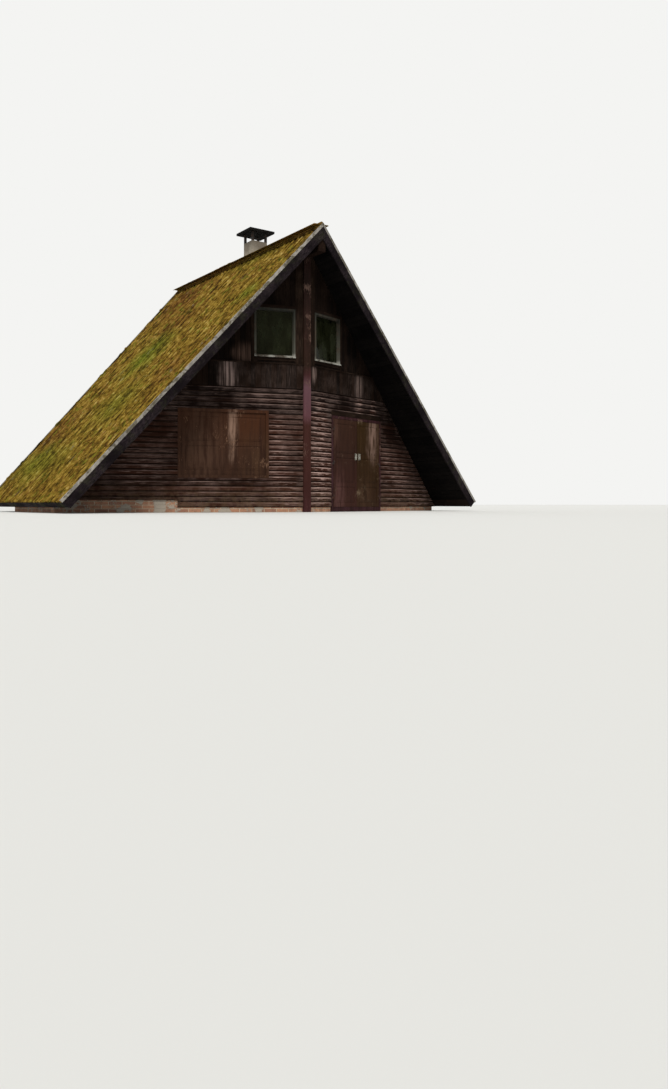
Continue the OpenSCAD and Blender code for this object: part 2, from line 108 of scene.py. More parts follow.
@dataclass(frozen=True)
class Plan:
    """Real sizes that boards, sheets and joinery follow, in metres and radians.

    Heights and widths come from the frame's own boxes. Angles and thicknesses repeat the construction's sizes.
    wall_length is longer than any wall half, before the roof cuts it.
    """

    nose_y: float
    post_half: float
    band_bottom: float
    band_top: float
    window_top: float
    verge_y: float
    eave_end: float
    verge_splay: float = math.radians(9)
    panel_depth: float = 0.2
    door_start: float = 0.82
    door_end: float = 2.69
    door_top: float = 2.1
    shutter_sill: float = 0.7
    window_gap: float = 0.16
    window_w: float = 0.875
    window_sill: float = 3.21
    ground_clear: float = 0.1
    plinth_top: float = 0.25
    wall_length: float = 5.3

    @classmethod
    def from_frame(cls) -> Plan:
        """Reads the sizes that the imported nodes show.

        Returns:
            The plan.
        """
        post_low, post_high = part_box("front_post")
        band_low, band_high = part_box("front_band")
        return cls(
            nose_y=post_low.y + POST_PROUD,
            post_half=post_high.x,
            band_bottom=band_low.z,
            band_top=band_high.z,
            window_top=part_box("upper_window_frames_front")[1].z,
            verge_y=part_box("bargeboards_front")[0].y,
            eave_end=-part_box("roof_cover_left")[0].x,
        )

    @property
    def underside(self) -> float:
        """Height at the middle of the cabin of the roof panels' underside."""
        return RIDGE_HEIGHT - self.panel_depth / math.cos(ROOF_PITCH)

    @property
    def window_start(self) -> float:
        """Distance from the nose to the upper windows, along the wall."""
        return self.post_half / math.cos(WALL_SPLAY) + self.window_gap

    @property
    def window_end(self) -> float:
        """Distance from the nose to the windows' outer edge, along the wall."""
        return self.window_start + self.window_w

    @property
    def slope_length(self) -> float:
        """Length of the covering, from the ridge to its lower edge."""
        return self.eave_end / math.cos(ROOF_PITCH)

    def slope_normal(self) -> Vector:
        """Direction square to the right roof half, upwards."""
        return Vector((math.sin(ROOF_PITCH), 0, math.cos(ROOF_PITCH)))

    def stand_on_wall(self, piece: Object) -> None:
        """Turns a piece made along X, with Y into the wall, to the right half of the front wall.

        Args:
            piece: the piece, in the wall's own frame.
        """
        turn = Matrix.Rotation(WALL_SPLAY, 4, "Z")
        piece.data.transform(Matrix.Translation((0, self.nose_y, 0)) @ turn)

    def stand_on_roof(self, piece: Object) -> None:
        """Turns a piece made along X, with Z outwards, to the right roof half, X running down from the ridge.

        Args:
            piece: the piece, in the roof's own frame.
        """
        turn = Matrix.Rotation(ROOF_PITCH, 4, "Y")
        piece.data.transform(Matrix.Translation((0, 0, RIDGE_HEIGHT)) @ turn)

    def to_side(self, piece: Object, side: Side, end: End) -> None:
        """Mirrors a piece of the right front quarter to its own quarter, with its faces outwards again.

        Args:
            piece: the piece, in the cabin's frame.
            side: the half that it belongs to.
            end: the end that it belongs to.
        """
        piece.data.transform(Matrix.Diagonal((side.value, end.value, 1, 1)))
        with editing(piece):
            bpy.ops.mesh.select_all(action="SELECT")
            bpy.ops.mesh.normals_make_consistent(inside=False)

    def cut_to_roof(self, piece: Object, gap: float = 0.003) -> None:
        """Cuts a piece of the right half along the underside of the roof panel.

        Args:
            piece: the piece, in the cabin's frame.
            gap: play left under the panel.
        """
        normal = self.slope_normal()
        cut(piece, Vector((0, 0, self.underside)) - normal * gap, normal)

    def cut_to_post(self, piece: Object, gap: float = 0.001) -> None:
        """Cuts a piece of the right half beside the centre post, with this much play."""
        cut(piece, Vector((self.post_half + gap, 0, 0)), Vector((-1, 0, 0)))

    def cut_to_verges(self, piece: Object, inset: float) -> None:
        """Cuts a piece of the right roof half along both verges, this far inside them.

        Args:
            piece: the piece, in the cabin's frame.
            inset: distance inside the bargeboards' outer faces.
        """
        for end in End:
            normal = Vector((math.sin(self.verge_splay), -math.cos(self.verge_splay) * end.value, 0))
            edge = Vector((0, self.verge_y * end.value, 0))
            cut(piece, edge - normal * inset, normal)


# Modelling steps


def deselect_all() -> None:
    """Leaves nothing selected and nothing active."""
    for obj in bpy.context.selected_objects:
        obj.select_set(False)
    bpy.context.view_layer.objects.active = None


def activate(piece: Object) -> None:
    """Makes a piece the only one that the operators act on.

    Args:
        piece: the piece.
    """
    deselect_all()
    piece.select_set(True)
    bpy.context.view_layer.objects.active = piece


@contextmanager
def editing(piece: Object, mode: str = "FACE") -> Iterator[None]:
    """Opens a piece in edit mode for the length of a with block.

    Args:
        piece: the piece to edit.
        mode: VERT, EDGE or FACE.
    """
    activate(piece)
    bpy.context.tool_settings.mesh_select_mode = (mode == "VERT", mode == "EDGE", mode == "FACE")
    bpy.ops.object.mode_set(mode="EDIT")
    yield
    bpy.ops.object.mode_set(mode="OBJECT")


def clear_selection(mesh: Mesh) -> None:
    """Deselects every vertex, edge and face of a mesh."""
    for parts in (mesh.vertices, mesh.edges, mesh.polygons):
        parts.foreach_set("select", np.zeros(len(parts), bool))


def pick_faces(piece: Object, wanted: Callable[[Vector, Vector], bool]) -> None:
    """Selects the faces whose centre and normal pass a test.

    Args:
        piece: the piece, in object mode.
        wanted: takes a face's centre and normal.
    """
    clear_selection(piece.data)
    for face in piece.data.polygons:
        face.select = bool(wanted(face.center, face.normal))


def pick_edges(piece: Object, wanted: Callable[[Vector, Vector], bool]) -> None:
    """Selects the edges whose two ends pass a test.

    Args:
        piece: the piece, in object mode.
        wanted: takes the places of an edge's two ends.
    """
    mesh = piece.data
    clear_selection(mesh)
    for edge in mesh.edges:
        first, second = (mesh.vertices[i] for i in edge.vertices)
        if wanted(first.co, second.co):
            edge.select = first.select = second.select = True


def add_block(name: str, low: tuple[float, float, float], high: tuple[float, float, float]) -> Object:
    """Adds a cube primitive at its size and place, as the start of a piece.

    Args:
        name: the piece's name.
        low: its lowest corner.
        high: its highest corner.

    Returns:
        The block, with its place in its mesh.
    """
    deselect_all()
    size = [b - a for a, b in zip(low, high)]
    middle = [(a + b) / 2 for a, b in zip(low, high)]
    bpy.ops.mesh.primitive_cube_add(size=1, location=middle, scale=size)
    piece = bpy.context.active_object
    piece.name = piece.data.name = name
    bpy.ops.object.transform_apply(location=True, rotation=True, scale=True)
    return piece


def cut(piece: Object, place: Vector, normal: Vector) -> None:
    """Saws off all of a piece on the far side of a plane, and closes the cut.

    Args:
        piece: the piece to saw.
        place: a point of the plane.
        normal: the direction of the side that falls off.
    """
    with editing(piece):
        bpy.ops.mesh.select_all(action="SELECT")
        bpy.ops.mesh.bisect(plane_co=place, plane_no=normal, use_fill=True, clear_outer=True)


def finish_with(piece: Object, kind: str, **settings: object) -> None:
    """Adds a modifier, sets it and applies it.

    Args:
        piece: the piece to change.
        kind: the modifier's type.
        settings: its settings by name.
    """
    activate(piece)
    modifier = piece.modifiers.new(kind.title(), kind)
    for name, value in settings.items():
        setattr(modifier, name, value)
    bpy.ops.object.modifier_apply(modifier=modifier.name)


def ease_edges(piece: Object, width: float, segments: int = 2) -> None:
    """Rounds the sharp edges of a piece a little."""
    finish_with(piece, "BEVEL", width=width, segments=segments, limit_method="ANGLE")


def join(name: str, pieces: list[Object]) -> Object:
    """Joins pieces into one mesh.

    Args:
        name: the joined piece's name.
        pieces: what goes into it, at least one.

    Returns:
        The joined piece.
    """
    deselect_all()
    for piece in pieces:
        piece.select_set(True)
    bpy.context.view_layer.objects.active = pieces[0]
    if len(pieces) > 1:
        bpy.ops.object.join()
    joined = bpy.context.active_object
    joined.name = joined.data.name = name
    return joined


def copy_piece(piece: Object) -> Object:
    """Copies a piece with a mesh of its own.

    Args:
        piece: the piece to copy.

    Returns:
        The copy.
    """
    twin = piece.copy()
    twin.data = piece.data.copy()
    bpy.context.scene.collection.objects.link(twin)
    return twin


def add_ring(
    name: str, low: tuple[float, float, float], high: tuple[float, float, float], member: float
) -> Object:
    """Makes a rectangular frame that stands in the wall's own frame, its opening running along Y.

    Args:
        name: the piece's name.
        low: lowest corner of the frame.
        high: highest corner of the frame.
        member: width of its members.

    Returns:
        The frame.
    """
    ring = add_block(name, low, high)
    pick_faces(ring, lambda centre, normal: abs(normal.y) > 0.9)
    with editing(ring):
        bpy.ops.mesh.inset(thickness=member, use_boundary=True, use_individual=True)
        bpy.ops.mesh.bridge_edge_loops()
    return ring


def smooth(piece: Object, degrees: float = 35) -> None:
    """Shades a piece smooth, apart from edges sharper than this angle."""
    activate(piece)
    bpy.ops.object.shade_smooth_by_angle(angle=math.radians(degrees))


def deliver(piece: Object, material: Material, body: str = HOUSE) -> Object:
    """Gives a finished piece its material and the body that it rides on.

    Args:
        piece: the finished piece.
        material: its finish.
        body: the body's name.

    Returns:
        The same piece.
    """
    piece.data.materials.clear()
    piece.data.materials.append(material)
    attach(piece, body)
    log.info("%s: %d faces on %s", piece.name, len(piece.data.polygons), body)
    return piece


# Node trees


Feed = NodeSocket | float | str | tuple
NOISE = "ShaderNodeTexNoise"
MAPPING = "ShaderNodeMapping"
MATH = "ShaderNodeMath"
MIX = "ShaderNodeMix"
SPLIT = "ShaderNodeSeparateXYZ"
MERGE = "ShaderNodeCombineXYZ"
STEP = "ShaderNodeMapRange"


def linear(code: str) -> tuple[float, float, float, float]:
    """Turns a colour into the linear one that a socket takes.

    Args:
        code: sRGB hex value such as #8a8577.

    Returns:
        Its linear red, green, blue and alpha.
    """
    parts = [int(code[i : i + 2], 16) / 255 for i in (1, 3, 5)]
    red, green, blue = [p / 12.92 if p <= 0.04045 else ((p + 0.055) / 1.055) ** 2.4 for p in parts]
    return red, green, blue, 1.0


def feed(node: Node, inputs: dict[str | int, Feed]) -> None:
    """Feeds the sockets of a node.

    Args:
        node: the node.
        inputs: by name or number, what a socket takes: an output, a number, a vector or a hex colour.
    """
    for name, value in inputs.items():
        if isinstance(value, NodeSocket):
            node.id_data.links.new(value, node.inputs[name])
        else:
            node.inputs[name].default_value = linear(value) if isinstance(value, str) else value


def add_node(
    tree: NodeTree, kind: str, inputs: dict[str | int, Feed] | None = None, **settings: object
) -> NodeSocket:
    """Adds a node with its settings and links.

    Args:
        tree: the tree of the material, the world or the modifier.
        kind: the node's type.
        inputs: what its sockets take, as in feed.
        settings: the node's own settings by name.

    Returns:
        Its first output in use. The others are reached through that socket's node.
    """
    node = tree.nodes.new(kind)
    for name, value in settings.items():
        setattr(node, name, value)
    feed(node, inputs or {})
    return next(socket for socket in node.outputs if socket.enabled)


def set_ramp(node: Node, stops: list[tuple[float, str]]) -> None:
    """Gives a colour ramp its stops.

    Args:
        node: the ramp.
        stops: their places from 0 to 1 and their hex colours.
    """
    ramp = node.color_ramp
    while len(ramp.elements) > 1:
        ramp.elements.remove(ramp.elements[-1])
    ramp.elements[0].position, ramp.elements[0].color = stops[0][0], linear(stops[0][1])
    for place, code in stops[1:]:
        ramp.elements.new(place).color = linear(code)


def lumps(size_mm: float, detail: float = 4, rough: float = 0.55) -> dict[str, float]:
    """Gives the inputs of a noise: the real size of its lumps, and its finer layers and their strength."""
    return {"Scale": 1 / (size_mm * MM), "Detail": detail, "Roughness": rough}


@dataclass(frozen=True)
class Rise:
    """A soft step, from 0 where a value is at the low level to top where it is at the high level.

    Where low is above high, it falls instead.
    """

    value: NodeSocket
    low: float
    high: float
    top: float = 1.0


def mask(tree: NodeTree, *parts: Rise | NodeSocket | float) -> NodeSocket:
    """Makes one mask of soft steps, other masks and shares, all multiplied.

    Args:
        tree: the tree.
        parts: what it is made of, at least one.

    Returns:
        The mask.
    """
    joined = None
    for part in parts:
        if isinstance(part, Rise):
            levels = {"Value": part.value, "From Min": part.low, "From Max": part.high, "To Max": part.top}
            part = add_node(tree, STEP, levels, interpolation_type="SMOOTHSTEP")
        if joined is None:
            joined = part
        else:
            joined = add_node(tree, MATH, {0: joined, 1: part}, operation="MULTIPLY")
    return joined


def strongest(tree: NodeTree, *masks: NodeSocket) -> NodeSocket:
    """Joins masks.

    Args:
        tree: the tree.
        masks: the masks, at least one.

    Returns:
        The strongest of them at each place.
    """
    joined = masks[0]
    for one in masks[1:]:
        joined = add_node(tree, MATH, {0: joined, 1: one}, operation="MAXIMUM")
    return joined


def weigh(tree: NodeTree, *terms: tuple[NodeSocket, float], plus: float = 0.0) -> NodeSocket:
    """Adds values up by their weights.

    Args:
        tree: the tree.
        terms: each a value and its weight, at least one.
        plus: a constant that is added last.

    Returns:
        The sum.
    """
    total = None
    for value, weight in terms:
        if weight != 1:
            value = add_node(tree, MATH, {0: value, 1: weight}, operation="MULTIPLY")
        if total is None:
            total = value
        else:
            total = add_node(tree, MATH, {0: total, 1: value}, operation="ADD")
    if plus:
        total = add_node(tree, MATH, {0: total, 1: plus}, operation="ADD")
    return total


def coats(tree: NodeTree, ground: NodeSocket | str, layers: list[tuple[Feed, Feed]]) -> NodeSocket:
    """Lays colours over one another.

    Args:
        tree: the material's tree.
        ground: the lowest colour.
        layers: each a colour and the mask or share that it is laid through, the lowest first.

    Returns:
        The colour that shows.
    """
    for colour, share in layers:
        ground = add_node(tree, MIX, {0: share, 6: ground, 7: colour}, data_type="RGBA")
    return ground


def relief(tree: NodeTree, *layers: tuple[NodeSocket, float]) -> NodeSocket:
    """Raises a surface by one or more reliefs, the finer on the coarser.

    Args:
        tree: the material's tree.
        layers: each a height and the real depth in millimetres that a rise from 0 to 1 has, the coarsest first.

    Returns:
        The normal for the shader.
    """
    below = {}
    for height, depth_mm in layers:
        inputs = {"Strength": 1.0, "Distance": depth_mm * MM, "Height": height} | below
        below = {"Normal": add_node(tree, "ShaderNodeBump", inputs)}
    return below["Normal"]


def on_wall(tree: NodeTree, place: NodeSocket) -> NodeSocket:
    """Gives the place across and up an end wall."""
    parts = add_node(tree, SPLIT, {"Vector": place}).node.outputs
    return add_node(tree, MERGE, {"X": parts["X"], "Y": parts["Z"]})


def upward(tree: NodeTree) -> NodeSocket:
    """Gives how far the surface faces up, from -1 to 1."""
    normal = add_node(tree, "ShaderNodeNewGeometry").node.outputs["Normal"]
    return add_node(tree, SPLIT, {"Vector": normal}).node.outputs["Z"]


@dataclass(frozen=True)
class Patch:
    """A weathered or stained place: its middle and half sizes in metres, its strength and its colour.

    On a wall it lies across and up, and on a roof half down the slope and along the ridge.
    """

    middle: tuple[float, float]
    half: tuple[float, float]
    share: float = 1.0
    colour: str = "#000000"

    def mask(self, tree: NodeTree, flat: NodeSocket, ragged: NodeSocket) -> NodeSocket:
        """Gives the patch's mask, with a ragged edge.

        Args:
            tree: the material's tree.
            flat: the place on the wall or the roof.
            ragged: a noise that roughens the edge.

        Returns:
            The mask.
        """
        across, up = (1 / size for size in self.half)
        middle = (-self.middle[0] * across, -self.middle[1] * up, 0)
        near = add_node(
            tree, MAPPING, {"Vector": flat, "Location": middle, "Scale": (across, up, 0)}
        )
        far = add_node(tree, "ShaderNodeVectorMath", {0: near}, operation="LENGTH")
        edge = weigh(tree, (far, 1), (ragged, 1.6))
        return mask(tree, Rise(edge, 2.3, 0.9, self.share))


LOG_WEAR = (
    Patch((0.43, 1.3), (0.42, 1.25)),
    Patch((0.43, 0.45), (0.42, 0.5)),
    Patch((1.77, 2.5), (0.16, 0.5), 0.7),
    Patch((2.31, 2.35), (0.13, 0.35), 0.6),
    Patch((3.35, 0.7), (0.75, 0.7), 0.42),
    Patch((2.85, 1.15), (0.2, 0.4), 0.4),
    Patch((4.4, 0.3), (0.7, 0.5)),
    Patch((-0.6, 1.15), (0.24, 1.0), 0.45),
    Patch((-0.95, 2.37), (0.4, 0.2), 0.25),
    Patch((-1.77, 2.52), (0.32, 0.16), 0.3),
    Patch((-0.43, 0.3), (0.35, 0.35), 0.6),
    Patch((-3.3, 0.9), (0.5, 0.5), 0.4),
)
BAND_WEAR = (
    Patch((-1.6, 2.84), (0.16, 0.36)),
    Patch((1.75, 2.84), (0.14, 0.36), 0.4),
    Patch((0.2, 2.95), (0.07, 0.2), 0.7),
)
GABLE_WEAR = (
    Patch((-1.26, 3.25), (0.22, 0.2), 0.9),
    Patch((-0.16, 3.7), (0.12, 0.6), 0.5),
)


# Finishes


class Finish:
    """Shared start of the finishes."""

    name: str

    def build(self) -> Material:
        """Makes the material. Each finish has its own way."""
        raise NotImplementedError

    def start(self) -> tuple[Material, NodeTree, Node, NodeSocket]:
        """Makes the material with its shader.

        Returns:
            The material, its tree, its Principled shader and the place on the cabin in metres.
        """
        material = bpy.data.materials.new(self.name)
        material.use_nodes = True
        tree = material.node_tree
        place = add_node(tree, "ShaderNodeTexCoord").node.outputs["Object"]
        return material, tree, tree.nodes["Principled BSDF"], place


GRAIN_TURNS = {
    Grain.ACROSS: (0.0, 0.0, 0.0),
    Grain.RIDGE: (0.0, 0.0, -math.pi / 2),
    Grain.UPRIGHT: (0.0, math.pi / 2, 0.0),
    Grain.RIGHT_SLOPE: (0.0, -ROOF_PITCH, 0.0),
    Grain.LEFT_SLOPE: (0.0, ROOF_PITCH, 0.0),
}


class WoodFinish(Finish):
    """Shared start of the finishes on wood, whose patterns follow the grain."""

    grain: Grain

    def along_grain(self, tree: NodeTree, place: NodeSocket) -> NodeSocket:
        """Turns the place to the grain.

        Args:
            tree: the material's tree.
            place: the place on the cabin.

        Returns:
            A place whose X runs along the grain.
        """
        if self.grain is Grain.OWN_MAP:
            return add_node(tree, "ShaderNodeUVMap", uv_map=GRAIN_UV)
        return add_node(tree, MAPPING, {"Vector": place, "Rotation": GRAIN_TURNS[self.grain]})


@dataclass(frozen=True)
class WoodPattern:
    """The sockets that the steps of one wood share."""

    place: NodeSocket
    own: NodeSocket
    fibres: NodeSocket
    streaks: NodeSocket
    cloud: NodeSocket
    weather: NodeSocket | None


@dataclass(frozen=True)
class Softwood(WoodFinish):
    """Sawn softwood under stain.

    To the eye: fine fibres along each board, boards of unlike tone, dull paler faces where weather reaches
    them, and dirt low down. On logs, the tops are painted lighter as highlight, partly bleach, and the
    undersides and the top rows darker as painted shade. A real fibre, under a millimetre wide, wouldn't show,
    so it is drawn 7 mm wide.
    """

    name: str
    grain: Grain
    dark: str
    light: str
    worn: str
    worn_share: float = 0.35
    # Share of the logs' tops that take the painted highlight.
    lit_share: float = 0.0
    splash: float = 0.0
    green: float = 0.0
    # Height above which the boards are darkened as painted shade.
    painted_shade_above: float = 0.0
    board_width: float = 0.0
    patches: tuple[Patch, ...] = ()
    roughness: float = 0.92
    gloss: float = 0.05
    fibre_mm: float = 7
    fibre_stretch: float = 38
    relief_mm: float = 0.7
    joint_mm: float = 4
    soil: str = "#64523f"
    algae: str = "#4d5528"

    def build(self) -> Material:
        """Makes the material.

        Returns:
            The material.
        """
        material, tree, shader, place = self.start()
        wood = self.pattern(tree, place)
        worn = mask(tree, Rise(wood.fibres, 0.42, 0.6), Rise(wood.cloud, 0.4, 0.66), self.worn_share)
        layers = [(self.light, self.stain(tree, wood)), (self.worn, worn)]
        if self.patches:
            layers += self.bleached(tree, wood)
        layers += self.dirt(tree, place)
        heights = [(wood.fibres, self.relief_mm)]
        if self.board_width:
            gaps = self.board_gaps(tree, wood.own)
            layers.append((self.dark, gaps))
            heights.insert(0, (weigh(tree, (gaps, -1)), self.joint_mm))
        feed(shader, {
            "Base Color": coats(tree, self.dark, layers), "Normal": relief(tree, *heights),
            "Roughness": self.roughness, "Specular IOR Level": self.gloss,
        })
        return material

    def pattern(self, tree: NodeTree, place: NodeSocket) -> WoodPattern:
        """Adds the patterns that the steps share.

        Args:
            tree: the material's tree.
            place: the place on the cabin.

        Returns:
            The patterns.
        """
        own = self.along_grain(tree, place)
        drawn = add_node(tree, MAPPING, {"Vector": own, "Scale": (1 / self.fibre_stretch, 1, 1)})
        fibres = add_node(tree, NOISE, {"Vector": drawn, **lumps(self.fibre_mm, 5, 0.65)})
        streaks = add_node(tree, NOISE, {"Vector": drawn, **lumps(self.fibre_mm * 5, 3, 0.6)})
        cloud = add_node(tree, NOISE, {"Vector": place, **lumps(420, 4, 0.6)})
        weather = None
        if self.patches:
            flat = on_wall(tree, place)
            weather = strongest(tree, *(patch.mask(tree, flat, cloud) for patch in self.patches))
        return WoodPattern(place, own, fibres, streaks, cloud, weather)

    def stain(self, tree: NodeTree, wood: WoodPattern) -> NodeSocket:
        """Mixes the stain's tones, and where a height is given, darkens the boards above it as painted shade.

        Args:
            tree: the material's tree.
            wood: its patterns.

        Returns:
            A mask from the stain's dark to its light colour.
        """
        tone = add_node(tree, "ShaderNodeAttribute", attribute_name=TONE).node.outputs["Fac"]
        terms = [(wood.fibres, 0.55), (wood.streaks, 0.45), (tone, 0.3)]
        if self.patches:
            terms.append((wood.weather, 0.3))
        # Painted shade: the boards above this height are darkened, standing for the shade under the band and
        # the overhang.
        if self.painted_shade_above:
            height = add_node(tree, SPLIT, {"Vector": wood.place}).node.outputs["Z"]
            level = weigh(tree, (height, 1), (wood.cloud, 0.4))
            terms.append((mask(tree, Rise(level, self.painted_shade_above, self.painted_shade_above + 0.4)), -0.3))
        return mask(tree, Rise(weigh(tree, *terms), 0.4, 0.92))

    def bleached(self, tree: NodeTree, wood: WoodPattern) -> list[tuple[str, NodeSocket]]:
        """Bleaches the weathered places, and on logs paints a highlight on their tops, partly bleach, and
        paints shade on their undersides.

        Args:
            tree: the material's tree.
            wood: its patterns.

        Returns:
            The coats, each a colour and its mask.
        """
        bare = mask(tree, Rise(wood.streaks, 0.36, 0.62))
        if not self.lit_share:
            return [(self.worn, mask(tree, wood.weather, bare))]
        up = upward(tree)
        cloud = add_node(tree, NOISE, {"Vector": wood.place, **lumps(620, 3, 0.6)})
        reach = strongest(tree, mask(tree, Rise(cloud, 0.4, 0.66, self.lit_share)), wood.weather)
        short = add_node(tree, MAPPING, {"Vector": wood.own, "Scale": (1 / 8, 1, 1)})
        blots = add_node(tree, NOISE, {"Vector": short, **lumps(30, 4, 0.6)})
        return [
            # Painted highlight, partly bleach: the worn colour on the logs' upward faces.
            (self.worn, mask(tree, Rise(up, 0.12, 0.62), bare, reach)),
            # Painted shade: the stain's dark colour on the logs' downward faces.
            (self.dark, mask(tree, Rise(up, -0.05, -0.6, 0.85))),
            (self.worn, mask(tree, Rise(blots, 0.5, 0.6, 0.75), wood.weather, Rise(up, -0.35, 0.25))),
        ]

    def dirt(self, tree: NodeTree, place: NodeSocket) -> list[tuple[str, NodeSocket]]:
        """Dirties the wood with soil splashed up from the ground, and with algae.

        Args:
            tree: the material's tree.
            place: the place on the cabin.

        Returns:
            The coats, each a colour and its mask.
        """
        layers = []
        if self.splash:
            height = add_node(tree, SPLIT, {"Vector": place}).node.outputs["Z"]
            spots = add_node(tree, NOISE, {"Vector": place, **lumps(90)})
            low = Rise(height, 0.75, 0.05)
            layers.append((self.soil, mask(tree, low, Rise(spots, 0.35, 0.65), self.splash)))
        if self.green:
            spots = add_node(tree, NOISE, {"Vector": place, **lumps(260, 6, 0.7)})
            layers.append((self.algae, mask(tree, Rise(spots, 0.5, 0.68), self.green)))
        return layers

    def board_gaps(self, tree: NodeTree, own: NodeSocket) -> NodeSocket:
        """Draws the gaps between flat boards.

        Args:
            tree: the material's tree.
            own: the place whose X runs along the grain.

        Returns:
            Their mask.
        """
        across = add_node(tree, SPLIT, {"Vector": own}).node.outputs["Y"]
        halves = weigh(tree, (across, 2 / self.board_width))
        saw = add_node(tree, MATH, {0: halves, 1: 1.0}, operation="PINGPONG")
        return mask(tree, Rise(saw, 0.05, 0.0))


@dataclass(frozen=True)
class OldPaint(WoodFinish):
    """Oil paint brushed on softwood.

    To the eye: a dull film, chalked in streaks down the grain, and flaked here and there to grey wood, whose
    fibres show through. They are drawn 9 mm wide, because real ones wouldn't show.
    """

    name: str
    grain: Grain
    paint: str
    faded: str
    bare: str = "#6f655a"
    flaked: float = 0.7
    roughness: float = 0.7
    bare_rougher: float = 0.3
    gloss: float = 0.09
    by_height: tuple[tuple[float, str], ...] = ()
    height_share: float = 0.6
    patches: tuple[Patch, ...] = ()
    fibre_mm: float = 9
    fibre_stretch: float = 9

    def build(self) -> Material:
        """Makes the material.

        Returns:
            The material.
        """
        material, tree, shader, place = self.start()
        own = self.along_grain(tree, place)
        drawn = add_node(tree, MAPPING, {"Vector": own, "Scale": (1 / self.fibre_stretch, 1, 1)})
        fibres = add_node(tree, NOISE, {"Vector": drawn, **lumps(self.fibre_mm, 6, 0.7)})
        streaks = add_node(tree, NOISE, {"Vector": drawn, **lumps(70, 5, 0.62)})
        broad = add_node(tree, NOISE, {"Vector": place, **lumps(350, 4, 0.6)})
        chalk = mask(tree, Rise(weigh(tree, (streaks, 1), (fibres, 0.3)), 0.5, 0.8))
        loose = weigh(tree, (fibres, 1), (broad, 1))
        flakes = mask(tree, Rise(loose, self.flaked + 0.44, self.flaked + 0.5))
        layers = [(self.faded, chalk)]
        if self.by_height:
            layers.append((self.tiers(tree, place, broad), self.height_share))
        if self.patches:
            flat = on_wall(tree, place)
            streaky = mask(tree, Rise(streaks, 0.34, 0.6))
            for patch in self.patches:
                layers.append((patch.colour, mask(tree, patch.mask(tree, flat, broad), streaky)))
        layers.append((self.bare, flakes))
        rough = {"Value": flakes, "To Min": self.roughness, "To Max": self.roughness + self.bare_rougher}
        feed(shader, {
            "Base Color": coats(tree, self.paint, layers),
            "Roughness": add_node(tree, STEP, rough, interpolation_type="SMOOTHSTEP"),
            "Specular IOR Level": self.gloss,
            "Normal": relief(tree, (weigh(tree, (flakes, -1)), 0.5), (fibres, 0.3)),
        })
        return material

    def tiers(self, tree: NodeTree, place: NodeSocket, wander: NodeSocket) -> NodeSocket:
        """Gives the colour that changes with the height above the ground, along an uneven edge.

        Args:
            tree: the material's tree.
            place: the place on the cabin.
            wander: a noise that makes the edges uneven.

        Returns:
            The colour.
        """
        height = add_node(tree, SPLIT, {"Vector": place}).node.outputs["Z"]
        uneven = weigh(tree, (height, 1), (wander, 0.16))
        ramp = add_node(tree, "ShaderNodeValToRGB", {"Fac": weigh(tree, (uneven, 1 / TIERS_TOP))})
        set_ramp(ramp.node, [(height / TIERS_TOP, code) for height, code in self.by_height])
        return ramp


@dataclass(frozen=True)
class Stray:
    """Spots of one kind of moss outside its patches.

    shift moves their noise, so that no two kinds follow each other. full_at is the noise's level from which
    they are full.
    """

    shift: float
    size_mm: float
    rough: float
    full_at: float
    share: float


RUSSET_SPOTS = Stray(23, 300, 0.68, 0.63, 0.5)
GREEN_SPOTS = Stray(11, 260, 0.66, 0.62, 0.6)


